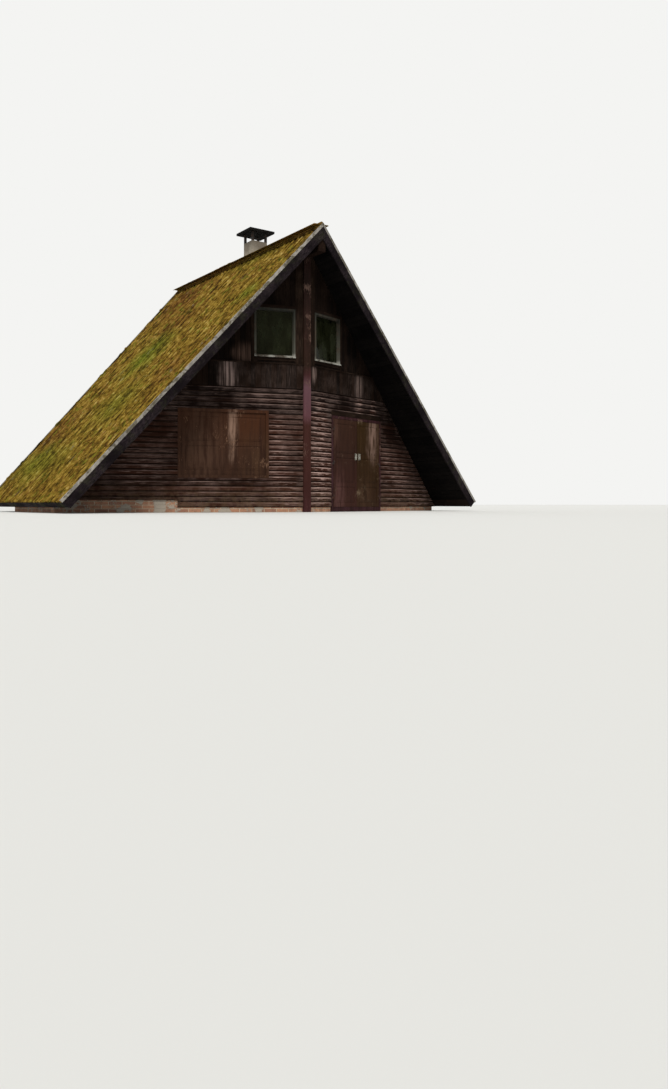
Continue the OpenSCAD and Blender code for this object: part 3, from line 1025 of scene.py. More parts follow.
@dataclass(frozen=True)
class MossyCement(Finish):
    """Pressed fibre-cement sheet under dry moss.

    To the eye: grey, porous sheet that shows only in bald spots of a matt golden film, with russet and green
    cushions, and painted shade in the troughs between the waves.
    """

    name: str
    side: Side
    bare: str = "#6a6353"
    deep: str = "#1f1606"
    film_dark: str = "#42310d"
    film: str = "#6d551c"
    film_light: str = "#8f7530"
    tips: str = "#b59f60"
    russet_dark: str = "#2e180a"
    russet: str = "#6e451f"
    green_dark: str = "#2c3008"
    green: str = "#66721f"
    green_share: float = 0.8
    roughness: float = 0.97
    gloss: float = 0.06
    relief_mm: float = 2.5
    wave_mm: float = 177
    # Strength of the painted shade in the troughs.
    trough_shade_share: float = 0.9
    streak_stretch: float = 9
    green_patches: tuple[Patch, ...] = (
        Patch((3.1, 0.6), (0.8, 0.9), 1.0),
        Patch((1.85, -2.5), (0.35, 0.45), 0.8),
        Patch((4.9, -0.4), (0.8, 1.1), 0.55),
        Patch((6.5, 1.2), (0.6, 1.8), 0.7),
        Patch((0.2, -0.9), (0.25, 1.2), 0.4),
    )
    russet_patches: tuple[Patch, ...] = (
        Patch((0.8, 2.0), (1.0, 1.3), 0.765),
        Patch((1.9, 0.7), (0.7, 1.1), 0.63),
        Patch((5.4, 2.2), (0.8, 0.9), 0.63),
        Patch((4.0, -1.9), (0.7, 0.7), 0.54),
    )

    def build(self) -> Material:
        """Makes the material.

        Returns:
            The material.
        """
        material, tree, shader, place = self.start()
        drawn = add_node(
            tree, MAPPING, {"Vector": self.down_slope(tree, place), "Scale": (1 / self.streak_stretch, 1, 1)}
        )
        tufts = add_node(tree, NOISE, {"Vector": place, **lumps(24, 4, 0.7)})
        clumps = add_node(tree, NOISE, {"Vector": place, **lumps(120, 5, 0.65)})
        streaks = add_node(tree, NOISE, {"Vector": drawn, **lumps(44, 4, 0.6)})
        cloud = add_node(tree, NOISE, {"Vector": place, **lumps(520, 6, 0.66)})
        blend = weigh(tree, (clumps, 0.36), (streaks, 0.48), (tufts, 0.16))
        film = add_node(tree, "ShaderNodeValToRGB", {"Fac": blend})
        set_ramp(film.node, [
            (0.37, self.deep), (0.44, self.film_dark), (0.5, self.film), (0.56, self.film_light),
            (0.64, self.tips),
        ])
        light = mask(tree, Rise(blend, 0.4, 0.6))
        russet = coats(tree, self.russet_dark, [(self.russet, light)])
        green = coats(tree, self.green_dark, [(self.green, light)])
        growth = self.spread(tree, place, cloud, self.green_patches, GREEN_SPOTS)
        colour = coats(tree, film, [
            (russet, self.spread(tree, place, cloud, self.russet_patches, RUSSET_SPOTS)),
            (green, mask(tree, growth, self.green_share)),
            (self.bare, mask(tree, Rise(cloud, 0.4, 0.3), Rise(clumps, 0.46, 0.56), 0.6)),
            # Painted shade: the deep colour laid in the troughs between the waves.
            (self.deep, self.trough_shade(tree, place)),
        ])
        feed(shader, {
            "Base Color": colour, "Roughness": self.roughness, "Specular IOR Level": self.gloss,
            "Normal": relief(tree, (clumps, self.relief_mm * 2), (tufts, self.relief_mm)),
        })
        return material

    def down_slope(self, tree: NodeTree, place: NodeSocket) -> NodeSocket:
        """Turns the place to the roof half.

        Args:
            tree: the material's tree.
            place: the place on the cabin.

        Returns:
            The place down the slope and along the ridge.
        """
        grain = Grain.LEFT_SLOPE if self.side is Side.LEFT else Grain.RIGHT_SLOPE
        turned = add_node(tree, MAPPING, {"Vector": place, "Rotation": GRAIN_TURNS[grain]})
        parts = add_node(tree, SPLIT, {"Vector": turned}).node.outputs
        down = weigh(tree, (parts["X"], self.side.value), plus=RIDGE_HEIGHT * math.sin(ROOF_PITCH))
        return add_node(tree, MERGE, {"X": down, "Y": parts["Y"]})

    def spread(
        self, tree: NodeTree, place: NodeSocket, ragged: NodeSocket, patches: tuple[Patch, ...], stray: Stray
    ) -> NodeSocket:
        """Marks where one kind of moss grows: in its patches and in stray spots.

        Args:
            tree: the material's tree.
            place: the place on the cabin.
            ragged: a noise that roughens the patches' edges.
            patches: the patches.
            stray: the spots.

        Returns:
            The mask.
        """
        slope = self.down_slope(tree, place)
        moved = add_node(tree, MAPPING, {"Vector": place, "Location": (stray.shift, 7, 3)})
        spots = add_node(tree, NOISE, {"Vector": moved, **lumps(stray.size_mm, 5, stray.rough)})
        masks = [patch.mask(tree, slope, ragged) for patch in patches]
        return strongest(tree, *masks, mask(tree, Rise(spots, 0.53, stray.full_at, stray.share)))

    def trough_shade(self, tree: NodeTree, place: NodeSocket) -> NodeSocket:
        """Marks the troughs between the waves, where shade is painted, broken where moss fills them.

        Args:
            tree: the material's tree.
            place: the place on the cabin.

        Returns:
            The mask.
        """
        across = add_node(tree, SPLIT, {"Vector": place}).node.outputs["Y"]
        angle = weigh(tree, (across, 2 * math.pi / (self.wave_mm * MM)))
        wave = add_node(tree, MATH, {0: angle}, operation="COSINE")
        spots = add_node(tree, NOISE, {"Vector": place, **lumps(210, 4, 0.6)})
        return mask(tree, Rise(wave, -0.1, -0.95), Rise(spots, 0.3, 0.52, self.trough_shade_share))


RIDGE_MOSS = {"trough_shade_share": 0.0, "green_share": 0.56, "russet_patches": (Patch((0.1, 0.0), (0.9, 5.0), 0.675),)}


@dataclass(frozen=True)
class GreyZinc(Finish):
    """Folded zinc sheet.

    To the eye: no shine, but a pale grey bloom with darker upright runs and spots of brown film.
    """

    name: str = "weathered_zinc"
    bright: str = "#a6a097"
    dull: str = "#6a655f"
    film: str = "#443d28"
    metallic: float = 0.35
    roughness: float = 0.6

    def build(self) -> Material:
        """Makes the material.

        Returns:
            The material.
        """
        material, tree, shader, place = self.start()
        runs = add_node(tree, MAPPING, {"Vector": place, "Scale": (1, 1, 0.2)})
        cloud = add_node(tree, NOISE, {"Vector": runs, **lumps(160, 6, 0.65)})
        specks = add_node(tree, NOISE, {"Vector": place, **lumps(12, 3)})
        spots = add_node(tree, NOISE, {"Vector": place, **lumps(170, 5, 0.7)})
        bloom = mask(tree, Rise(weigh(tree, (cloud, 0.7), (specks, 0.3)), 0.36, 0.66))
        layers = [(self.bright, bloom), (self.film, mask(tree, Rise(spots, 0.48, 0.6, 0.85)))]
        feed(shader, {
            "Base Color": coats(tree, self.dull, layers), "Metallic": self.metallic,
            "Roughness": self.roughness, "Normal": relief(tree, (cloud, 1.2)),
        })
        return material


@dataclass(frozen=True)
class WornMetal(Finish):
    """Plain metal parts, brushed or rolled.

    To the eye: a metal sheen, broken by duller spots of grime or rust.
    """

    name: str
    metal: str
    grime: str
    grime_level: float
    metallic: float
    roughness: float
    grime_rougher: float = 0.35

    def build(self) -> Material:
        """Makes the material.

        Returns:
            The material.
        """
        material, tree, shader, place = self.start()
        film = add_node(tree, NOISE, {"Vector": place, **lumps(60, 6, 0.7)})
        specks = add_node(tree, NOISE, {"Vector": place, **lumps(5, 3)})
        spots = mask(tree, Rise(film, self.grime_level - 0.08, self.grime_level + 0.1))
        feed(shader, {
            "Base Color": coats(tree, self.metal, [(self.grime, spots)]),
            "Metallic": self.metallic,
            "Roughness": weigh(tree, (spots, self.grime_rougher), plus=self.roughness),
            "Normal": relief(tree, (specks, 0.25)),
        })
        return material


@dataclass(frozen=True)
class OldGlass(Finish):
    """Drawn window glass.

    To the eye: green in the mass and slightly wavy, with a dull film of dust in upright runs.
    """

    name: str = "drawn_window_glass"
    tint: str = "#292b1a"
    dust: str = "#262a1d"
    sheen: str = "#6c6a55"
    ior: float = 1.5
    gloss: float = 0.2

    def build(self) -> Material:
        """Makes the material.

        Returns:
            The material.
        """
        material, tree, shader, place = self.start()
        waves = add_node(tree, NOISE, {"Vector": place, **lumps(260, 2)})
        runs = add_node(tree, MAPPING, {"Vector": place, "Scale": (1, 1, 0.4)})
        cloud = add_node(tree, NOISE, {"Vector": runs, **lumps(160, 3, 0.45)})
        film = mask(tree, Rise(cloud, 0.25, 0.8, 0.75))
        feed(shader, {
            "Base Color": coats(tree, self.tint, [(self.dust, film)]),
            "Transmission Weight": weigh(tree, (film, -0.8), plus=0.85),
            "Roughness": mask(tree, film, 0.5),
            "IOR": self.ior,
            "Specular IOR Level": self.gloss,
            "Specular Tint": self.sheen,
            "Normal": relief(tree, (waves, 0.6)),
        })
        return material


@dataclass(frozen=True)
class OldMasonry(Finish):
    """Common brick laid in lime mortar.

    To the eye: matt, soiled bricks of unlike tone in sunk pale joints, with patches of grey render on them.
    """

    name: str = "lime_mortared_brick"
    brick: str = "#b98768"
    brick_dark: str = "#8f6350"
    mortar: str = "#c4b69d"
    render: str = "#a3988a"
    stain: str = "#564538"
    dirt: str = "#4b443a"
    render_level: float = 0.57
    brick_length: float = 0.26
    course: float = 0.075
    joint: float = 0.006
    roughness: float = 0.92

    def build(self) -> Material:
        """Makes the material.

        Returns:
            The material.
        """
        material, tree, shader, place = self.start()
        wall = add_node(tree, "ShaderNodeTexBrick", {
            "Vector": self.along_walls(tree, place), "Scale": 1.0,
            "Mortar Size": self.joint, "Mortar Smooth": 0.15, "Bias": 0.0,
            "Brick Width": self.brick_length, "Row Height": self.course,
            "Color1": self.brick, "Color2": self.brick_dark, "Mortar": self.mortar,
        })
        grit = add_node(tree, NOISE, {"Vector": place, **lumps(6, 5, 0.7)})
        cloud = add_node(tree, NOISE, {"Vector": place, **lumps(340, 6, 0.62)})
        spots = add_node(tree, NOISE, {"Vector": place, **lumps(120, 5, 0.7)})
        coat = mask(tree, Rise(cloud, self.render_level - 0.02, self.render_level + 0.03))
        colour = coats(tree, wall, [
            (self.stain, mask(tree, Rise(spots, 0.4, 0.7, 0.5))),
            (self.render, coat),
            (self.dirt, mask(tree, Rise(grit, 0.35, 0.7, 0.3))),
        ])
        proud = weigh(tree, (wall.node.outputs["Fac"], -1), (coat, 1.6))
        feed(shader, {
            "Base Color": colour, "Roughness": self.roughness, "Normal": relief(tree, (proud, 5), (grit, 1.4)),
        })
        return material

    def along_walls(self, tree: NodeTree, place: NodeSocket) -> NodeSocket:
        """Lays the bricks' plane along whichever wall the surface belongs to.

        Args:
            tree: the material's tree.
            place: the place on the cabin.

        Returns:
            The place along and up that wall.
        """
        parts = add_node(tree, SPLIT, {"Vector": place}).node.outputs
        normal = add_node(tree, "ShaderNodeNewGeometry").node.outputs["Normal"]
        sideways = add_node(tree, SPLIT, {"Vector": normal}).node.outputs["X"]
        size = add_node(tree, MATH, {0: sideways}, operation="ABSOLUTE")
        on_side = add_node(tree, MATH, {0: size, 1: 0.7}, operation="GREATER_THAN")
        along_end = weigh(tree, (parts["X"], 1 / math.cos(WALL_SPLAY)))
        along = add_node(tree, MIX, {0: on_side, 2: along_end, 3: parts["Y"]})
        return add_node(tree, MERGE, {"X": along, "Y": parts["Z"]})


@dataclass(frozen=True)
class LimeRender(Finish):
    """Floated lime render or cast concrete.

    To the eye: rough and matt, with rain runs, grit and, near the chimney's top, soot. Grit of real size, 2 to
    4 mm, wouldn't show, so it is drawn 9 mm wide.
    """

    name: str
    pale: str
    dark: str
    soot_share: float = 0.0
    grit_mm: float = 9
    roughness: float = 0.93
    gloss: float = 0.1
    soot_from: float = 6.0
    soot_full: float = 6.45
    dirt: str = "#4e483f"
    soot: str = "#2a2622"

    def build(self) -> Material:
        """Makes the material.

        Returns:
            The material.
        """
        material, tree, shader, place = self.start()
        cloud = add_node(tree, NOISE, {"Vector": place, **lumps(240, 6, 0.65)})
        grit = add_node(tree, NOISE, {"Vector": place, **lumps(self.grit_mm, 5, 0.7)})
        runs = add_node(tree, MAPPING, {"Vector": place, "Scale": (1, 1, 0.12)})
        rain = add_node(tree, NOISE, {"Vector": runs, **lumps(60, 4, 0.6)})
        layers = [
            (self.pale, mask(tree, Rise(cloud, 0.35, 0.65))),
            (self.dark, mask(tree, Rise(rain, 0.5, 0.72, 0.45))),
            (self.dirt, mask(tree, Rise(grit, 0.5, 0.8, 0.3))),
        ]
        if self.soot_share:
            height = add_node(tree, SPLIT, {"Vector": place}).node.outputs["Z"]
            top = Rise(height, self.soot_from, self.soot_full, self.soot_share)
            layers.append((self.soot, mask(tree, top, Rise(cloud, 0.3, 0.6))))
        feed(shader, {
            "Base Color": coats(tree, self.dark, layers), "Roughness": self.roughness,
            "Specular IOR Level": self.gloss, "Normal": relief(tree, (cloud, 6), (grit, 1.6)),
        })
        return material


# Boards


@dataclass(frozen=True)
class BoardKind:
    """One kind of board: its pitch, and the steps in which its face rises.

    Each step is how far the face comes forward and what share of its width is left. joint is the gap between
    two boards, slice_length the distance between the cuts that let a board warp, and wander half its warp.
    """

    pitch: float
    back: float
    steps: tuple[tuple[float, float], ...]
    joint: float = 0.003
    slice_length: float = 0.4
    wander: float = 0.0012


HALF_LOG = BoardKind(
    0.107, 0.004, ((0.006, 0.95), (0.007, 0.84), (0.006, 0.66), (0.004, 0.42)), joint=0.006, wander=0.002
)
MATCHBOARD = BoardKind(0.11, 0.007, ((0.004, 0.93),), wander=0.0008)
SOFFIT_BOARD = BoardKind(0.12, 0.008, ((0.003, 0.93),), joint=0.004, wander=0.0008)


@dataclass
class BoardField:
    """Boards side by side in a rectangle that lies in the plane Y = 0, with their faces towards -Y."""

    kind: BoardKind
    run: Run
    low: tuple[float, float]
    high: tuple[float, float]
    seed: int
    proud: float = 0.0
    start: tuple[float, float] | None = None

    def build(self, name: str) -> Object:
        """Models one board, repeats it and saws the field to its edges.

        Args:
            name: the field's name.

        Returns:
            The field, in the wall's own frame.
        """
        swap = self.run is Run.UPRIGHT
        low, high = (self.low[::-1], self.high[::-1]) if swap else (self.low, self.high)
        begin = (self.start or self.low)[::-1] if swap else (self.start or self.low)
        length = high[0] - low[0]
        board = self.one_board(name, low[0], length, begin[1])
        first = math.floor((low[1] - begin[1]) / self.kind.pitch)
        count = math.ceil((high[1] - begin[1]) / self.kind.pitch) - first
        board.data.transform(Matrix.Translation((0, 0, first * self.kind.pitch)))
        finish_with(
            board, "ARRAY", count=count, use_relative_offset=False, use_constant_offset=True,
            constant_offset_displace=(0, 0, self.kind.pitch),
        )
        self.tell_apart(board, begin[1])
        if high[1] < begin[1] + (first + count) * self.kind.pitch - self.kind.joint:
            cut(board, Vector((0, 0, high[1])), Vector((0, 0, 1)))
        if low[1] > begin[1] + first * self.kind.pitch + self.kind.joint:
            cut(board, Vector((0, 0, low[1])), Vector((0, 0, -1)))
        if swap:
            quarter = Matrix(((0, 0, 1, 0), (0, 1, 0, 0), (1, 0, 0, 0), (0, 0, 0, 1)))
            board.data.transform(quarter)
            with editing(board):
                bpy.ops.mesh.select_all(action="SELECT")
                bpy.ops.mesh.normals_make_consistent(inside=False)
        return board

    def one_board(self, name: str, start: float, length: float, bottom: float) -> Object:
        """Models the first board: a blank whose face is drawn forward in narrowing steps.

        Args:
            name: the field's name.
            start: where the board starts along its run.
            length: its length.
            bottom: height where the rows are counted from.

        Returns:
            The board.
        """
        kind = self.kind
        low = (start, -self.proud - kind.back, bottom + kind.joint / 2)
        high = (start + length, -self.proud, bottom + kind.pitch - kind.joint / 2)
        board = add_block(name, low, high)
        pick_faces(board, lambda centre, normal: normal.y < -0.9)
        middle = (start + length / 2, low[1], bottom + kind.pitch / 2)
        with editing(board):
            share_before = 1.0
            for forward, share in kind.steps:
                bpy.ops.mesh.extrude_region_move(TRANSFORM_OT_translate={"value": (0, -forward, 0)})
                bpy.ops.transform.resize(value=(1, 1, share / share_before), center_override=middle)
                share_before = share
        slices = max(1, round(length / kind.slice_length))
        pick_edges(board, lambda a, b: abs(a.x - b.x) > length / 2)
        with editing(board, "EDGE"):
            bpy.ops.mesh.subdivide(number_cuts=slices)
        return board

    def tell_apart(self, board: Object, bottom: float) -> None:
        """Gives each board its own tone, grain and slight warp.

        Args:
            board: the field before it is sawn.
            bottom: height where the rows are counted from.
        """
        rng = np.random.default_rng(self.seed)
        mesh, kind = board.data, self.kind
        places = np.empty(len(mesh.vertices) * 3, np.float32)
        mesh.vertices.foreach_get("co", places)
        places = places.reshape(-1, 3)
        rows = np.floor((places[:, 2] - bottom) / kind.pitch + 1e-4).astype(int)
        tone, slide, drift, phase, bend = rng.random((rows.max() + 1, 5)).T
        slide, drift, phase, bend = slide * 40, drift * 2 - 1, phase * 2 * math.pi, 0.5 + bend / 2
        loop_vertex = np.empty(len(mesh.loops), np.int32)
        mesh.loops.foreach_get("vertex_index", loop_vertex)
        for layer in list(mesh.uv_layers):
            mesh.uv_layers.remove(layer)
        grain = mesh.uv_layers.new(name=GRAIN_UV)
        flat = np.stack([places[:, 0] + slide[rows], places[:, 2] + places[:, 1] + slide[rows] * 0.37], 1)
        grain.uv.foreach_set("vector", flat[loop_vertex].ravel().astype(np.float32))
        tones = mesh.attributes.new(TONE, "FLOAT", "POINT")
        tones.data.foreach_set("value", tone[rows].astype(np.float32))
        warp = drift[rows] * 0.6 + np.sin(places[:, 0] * 1.7 + phase[rows]) * bend[rows] * 0.4
        front = places[:, 1] < -self.proud - kind.back / 2
        places[:, 1] -= np.where(front, (warp + 1) * kind.wander, 0)
        mesh.vertices.foreach_set("co", places.ravel())
        mesh.update()


@dataclass
class WallBoards:
    """Outer boards of the four wall halves: half-log boards below, upright ones in the band and the gable."""

    plan: Plan
    board_finish: Material
    band_finish: Material
    gable_finish: Material
    trim_finish: Material
    band_proud: float = 0.025
    band_overlap: float = 0.015
    ledge_height: float = 0.036
    head_board: float = 0.112
    head_proud: float = 0.026
    head_round: float = 0.004
    ledge_proud: float = 0.052
    ledge_fall: float = 0.5
    gable_lift: float = 0.03
    casing: float = 0.07
    casing_proud: float = 0.024
    play: float = 0.002
    seed: int = 40

    def build(self) -> None:
        """Boards every wall half."""
        for end in End:
            for side in Side:
                self.lower_wall(side, end)
                self.band(side, end)
                self.gable(side, end)

    def next_seed(self) -> int:
        """Gives every field its own draw."""
        self.seed += 1
        return self.seed

    def set_in_place(
        self, fields: list[Object], name: str, side: Side, end: End, finish: Material
    ) -> Object:
        """Joins the fields of one wall half, fits them to post and roof and delivers them.

        Args:
            fields: board fields in the wall's own frame.
            name: the joined piece's name.
            side: the half of the cabin.
            end: the end of the cabin.
            finish: their material.

        Returns:
            The finished piece.
        """
        piece = join(f"{name}_{end.name.lower()}_{side.name.lower()}", fields)
        self.plan.stand_on_wall(piece)
        self.plan.cut_to_post(piece)
        self.plan.cut_to_roof(piece)
        self.plan.to_side(piece, side, end)
        smooth(piece, 32)
        return deliver(piece, finish)

    def level(self, low: tuple[float, float], high: tuple[float, float], draw: int) -> Object:
        """Makes a field of half-log boards.

        Their rows are counted from the lowest board, so that they run on from one field to the next.

        Args:
            low: the field's lower left corner, along the wall and up.
            high: its upper right corner.
            draw: the seed of its boards.

        Returns:
            The field, in the wall's own frame.
        """
        begin = (low[0], self.plan.ground_clear)
        return BoardField(HALF_LOG, Run.LEVEL, low, high, draw, start=begin).build("boards")

    def lower_wall(self, side: Side, end: End) -> None:
        """Boards the ground storey, round the doorway or the shuttered window of the front.

        Args:
            side: the half of the cabin.
            end: the end of the cabin.
        """
        plan, play, draw = self.plan, self.play, self.next_seed()
        bottom, top, far = plan.ground_clear, plan.band_bottom - play, plan.wall_length
        start, finish = plan.door_start - play, plan.door_end + play
        if end is End.BACK:
            spans = [((0, plan.plinth_top), (far, top))]
        elif side is Side.RIGHT:
            head = plan.door_top + play + self.head_board
            whole = self.whole_rows(head, math.ceil)
            spans = [
                ((0, bottom), (start, whole)),
                ((start + play, head), (finish - play, whole)),
                ((finish, bottom), (far, whole)),
                ((0, whole), (far, top)),
            ]
            self.door_head(start + play, finish - play, head - play)
        else:
            sill, head = plan.shutter_sill - play, plan.door_top + play
            below, whole = self.whole_rows(sill, math.floor), self.whole_rows(head, math.ceil)
            spans = [
                ((0, bottom), (finish - play, below)),
                ((0, below), (start, whole)),
                ((start + play, below), (finish - play, sill)),
                ((start + play, head), (finish - play, whole)),
                ((finish, plan.plinth_top), (far, whole)),
                ((0, whole), (far, top)),
            ]
        fields = [self.level(low, high, draw) for low, high in spans]
        self.set_in_place(fields, "log_boards", side, end, self.board_finish)

    def whole_rows(self, height: float, rounding: Callable[[float], int]) -> float:
        """Gives the joint between two rows that is next to a height."""
        bottom, pitch = self.plan.ground_clear, HALF_LOG.pitch
        return bottom + rounding((height - bottom) / pitch) * pitch

    def door_head(self, start: float, finish: float, top: float) -> None:
        """Covers the door's lintel with one plain board, its edges rounded.

        Args:
            start: where it starts along the wall.
            finish: where it ends along the wall.
            top: height of its upper edge.
        """
        board = add_block("head", (start, -self.head_proud, self.plan.door_top + self.play), (finish, 0, top))
        ease_edges(board, self.head_round)
        self.give_grain(board)
        self.set_in_place([board], "door_head_board", Side.RIGHT, End.FRONT, self.trim_finish)

    def band(self, side: Side, end: End) -> None:
        """Boards the band at the loft floor and covers its top with a drip ledge.

        Args:
            side: the half of the cabin.
            end: the end of the cabin.
        """
        plan = self.plan
        low = (0, plan.band_bottom - self.band_overlap)
        high = (plan.wall_length, plan.band_top)
        boards = BoardField(MATCHBOARD, Run.UPRIGHT, low, high, self.next_seed(), self.band_proud)
        self.set_in_place([boards.build("band")], "band_boards", side, end, self.band_finish)
        ledge = add_block(
            "ledge", (0, -self.ledge_proud, plan.band_top),
            (plan.wall_length, 0, plan.band_top + self.ledge_height),
        )
        fall = self.ledge_height * self.ledge_fall
        lip = Vector((0, -self.ledge_proud, plan.band_top + fall))
        cut(ledge, lip, Vector((0, -fall, self.ledge_proud)))
        self.give_grain(ledge)
        self.set_in_place([ledge], "band_ledge", side, end, self.trim_finish)

    def gable(self, side: Side, end: End) -> None:
        """Boards the gable round its window and frames the window with plain casings.

        Args:
            side: the half of the cabin.
            end: the end of the cabin.
        """
        plan, play, lift = self.plan, self.play, self.gable_lift
        bottom, top = plan.band_top + lift, RIDGE_HEIGHT
        left, right = plan.window_start, plan.window_end
        casing, face = self.casing, self.casing_proud
        sill, head = plan.window_sill - casing, plan.window_top + casing
        edges = [
            ((right + casing, bottom), (plan.wall_length, top)),
            ((left, bottom), (right + casing, sill)),
            ((left, head), (right + casing, top)),
        ]
        fields = [
            BoardField(MATCHBOARD, Run.UPRIGHT, *corners, self.next_seed()).build("gable") for corners in edges
        ]
        self.set_in_place(fields, "gable_boards", side, end, self.gable_finish)
        casings = [
            add_block("casing", (0, -face, bottom), (left - play, 0, top)),
            add_block("casing", (right + play, -face, bottom), (right + casing - play, 0, head)),
            add_block("casing", (left, -face, sill + play), (right, 0, plan.window_sill - play)),
            add_block("casing", (left, -face, plan.window_top + play), (right, 0, head - play)),
        ]
        for piece in casings:
            self.give_grain(piece)
        self.set_in_place(casings, "window_casings", side, end, self.trim_finish)

    def give_grain(self, piece: Object) -> None:
        """Maps a plain board's own grain along its longer side.

        Args:
            piece: the board.
        """
        mesh = piece.data
        for layer in list(mesh.uv_layers):
            mesh.uv_layers.remove(layer)
        layer = mesh.uv_layers.new(name=GRAIN_UV)
        wide, _, tall = piece.dimensions
        for loop in mesh.loops:
            x, y, z = mesh.vertices[loop.vertex_index].co
            layer.uv[loop.index].vector = (z, x + y) if tall > wide else (x, z + y)


# Roof


@dataclass
class Roof:
    """Corrugated sheets in overlapping rows, and the moss on them and on the ridge.

    moss_patterns holds the lumps in millimetres, the finer layers and the draw of the moss's wide patches,
    clumps, tufts and fringe. mounds holds the middle, the width and the rise of the ridge's high places.
    """

    plan: Plan
    sheet_finishes: dict[Side, Material]
    moss_finishes: dict[Side, Material]
    ridge_finish: Material
    wave: float = 0.177
    cover: float = 0.057
    sheet: float = 0.007
    rows: int = 4
    lap: float = 0.15
    steps: int = 10
    top_gap: float = 0.03
    edge_inset: float = 0.031
    moss_steps: int = 6
    moss_top: float = 0.13
    moss_cell: float = 0.034
    moss_sheet: float = 0.012
    moss_least: float = 0.0042
    moss_sunk: float = 0.001
    moss_patterns: tuple[tuple[float, int, int], ...] = ((850, 3, 0), (160, 3, 5), (45, 2, 9), (110, 3, 13))
    tuft_height: float = 0.014
    mat_height: float = 0.003
    patch_height: float = 0.002
    trough_fill: float = 0.22
    fringe_height: float = 0.012
    trim_width: float = 0.05
    trim_overlap: float = 0.006
    ridge_half: float = 0.17
    ridge_cell: float = 0.026
    ridge_columns: int = 17
    roll: float = 0.045
    capping_top: float = 0.011
    ridge_sunk: float = 0.009
    mounds: tuple[tuple[float, float, float], ...] = ((0.55, 0.55, 0.05), (2.5, 0.45, 0.045), (-1.4, 0.5, 0.02))
    stack: tuple[float, float] = (0.35, -0.0998)
    stack_half: float = 0.2
    stack_span: tuple[float, float] = (3.0, 7.0)
    stack_play: float = 0.002

    @property
    def waves(self) -> int:
        """Number of waves over the roof's width."""
        return math.ceil(-2 * self.plan.verge_y / self.wave)

    @property
    def amplitude(self) -> float:
        """Half the depth of a wave."""
        return (self.cover - self.sheet) / 2

    def build(self) -> None:
        """Covers both roof halves."""
        for side in Side:
            self.sheets(side)
            self.moss(side)
        self.ridge_moss()

    def grid(self, name: str, size: tuple[float, float], cells: tuple[int, int], middle: float = 0.0) -> Object:
        """Adds a flat grid.

        Args:
            name: its name.
            size: its length along X and its width along Y.
            cells: the number of its cells along X and along Y.
            middle: X of its middle.

        Returns:
            The grid, with its place in its mesh.
        """
        deselect_all()
        bpy.ops.mesh.primitive_grid_add(
            x_subdivisions=cells[0], y_subdivisions=cells[1], size=1, location=(middle, 0, 0)
        )
        piece = bpy.context.active_object
        piece.scale = (*size, 1)
        piece.name = piece.data.name = name
        bpy.ops.object.transform_apply(location=True, rotation=True, scale=True)
        return piece

    def slope_grid(self, name: str, start: float, end: float, cuts: int, steps: int) -> Object:
        """Adds a grid over the roof's whole width, from one distance down the slope to another.

        Args:
            name: its name.
            start: distance from the ridge to its upper edge.
            end: distance from the ridge to its lower edge.
            cuts: the number of its cells down the slope.
            steps: the number of its cells in each wave.

        Returns:
            The grid, in the roof's own frame.
        """
        size = (end - start, self.waves * self.wave)
        return self.grid(name, size, (cuts, self.waves * steps), (start + end) / 2)

    def corrugate(self, piece: Object, tilt: float, start: float) -> None:
        """Bends a flat grid into waves that run down the slope, its lower edge lifted onto the next row.

        Args:
            piece: the grid.
            tilt: rise of the sheet per metre down the slope.
            start: distance from the ridge where the rise starts.
        """
        mesh = piece.data
        places = np.empty(len(mesh.vertices) * 3, np.float32)
        mesh.vertices.foreach_get("co", places)
        places = places.reshape(-1, 3)
        wave = np.cos(places[:, 1] * 2 * math.pi / self.wave) - 1
        places[:, 2] = wave * self.amplitude + (places[:, 0] - start) * tilt
        mesh.vertices.foreach_set("co", places.ravel())
        mesh.update()

    def sheets(self, side: Side) -> None:
        """Lays the rows of sheets of one roof half, from the ridge down.

        Args:
            side: the roof half.
        """
        reach = self.plan.slope_length / self.rows
        rows = []
        for row in range(self.rows):
            top = max(row * reach - self.lap, self.top_gap)
            end = (row + 1) * reach
            part = self.slope_grid("sheet", top, end, 4, self.steps)
            rise = self.sheet * 0.9
            self.corrugate(part, rise / (end - top), end)
            finish_with(part, "SOLIDIFY", thickness=self.sheet, offset=-1)
            rows.append(part)
        piece = join(f"roof_sheets_{side.name.lower()}", rows)
        self.plan.stand_on_roof(piece)
        self.plan.cut_to_verges(piece, self.edge_inset)
        if side is Side.RIGHT:
            self.let_stack_through(piece)
        self.plan.to_side(piece, side, End.FRONT)
        smooth(piece, 40)
        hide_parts(f"roof_cover_{side.name.lower()}")
        deliver(piece, self.sheet_finishes[side])

    def let_stack_through(self, piece: Object) -> None:
        """Cuts the hole for the chimney stack.

        Args:
            piece: the joined sheets.
        """
        (x, y), (low, high) = self.stack, self.stack_span
        half = self.stack_half + self.stack_play
        cutter = add_block("cutter", (x - half, y - half, low), (x + half, y + half, high))
        finish_with(piece, "BOOLEAN", operation="DIFFERENCE", object=cutter, solver="EXACT")
        bpy.data.objects.remove(cutter)

    def moss(self, side: Side) -> None:
        """Grows moss over the sheets: thick in the troughs and in patches, bare between them.

        Args:
            side: the roof half.
        """
        top, end = self.moss_top, self.plan.slope_length - self.moss_sheet
        piece = self.slope_grid("moss", top, end, round((end - top) / self.moss_cell), self.moss_steps)
        activate(piece)
        modifier = piece.modifiers.new("Moss", "NODES")
        modifier.node_group = self.moss_tree(side)
        bpy.ops.object.modifier_apply(modifier=modifier.name)
        finish_with(piece, "SOLIDIFY", thickness=self.moss_sheet, offset=-1)
        piece.name = piece.data.name = f"roof_moss_{side.name.lower()}"
        self.plan.stand_on_roof(piece)
        self.plan.cut_to_verges(piece, self.trim_width - self.trim_overlap)
        self.plan.to_side(piece, side, End.FRONT)
        smooth(piece, 60)
        deliver(piece, self.moss_finishes[side])

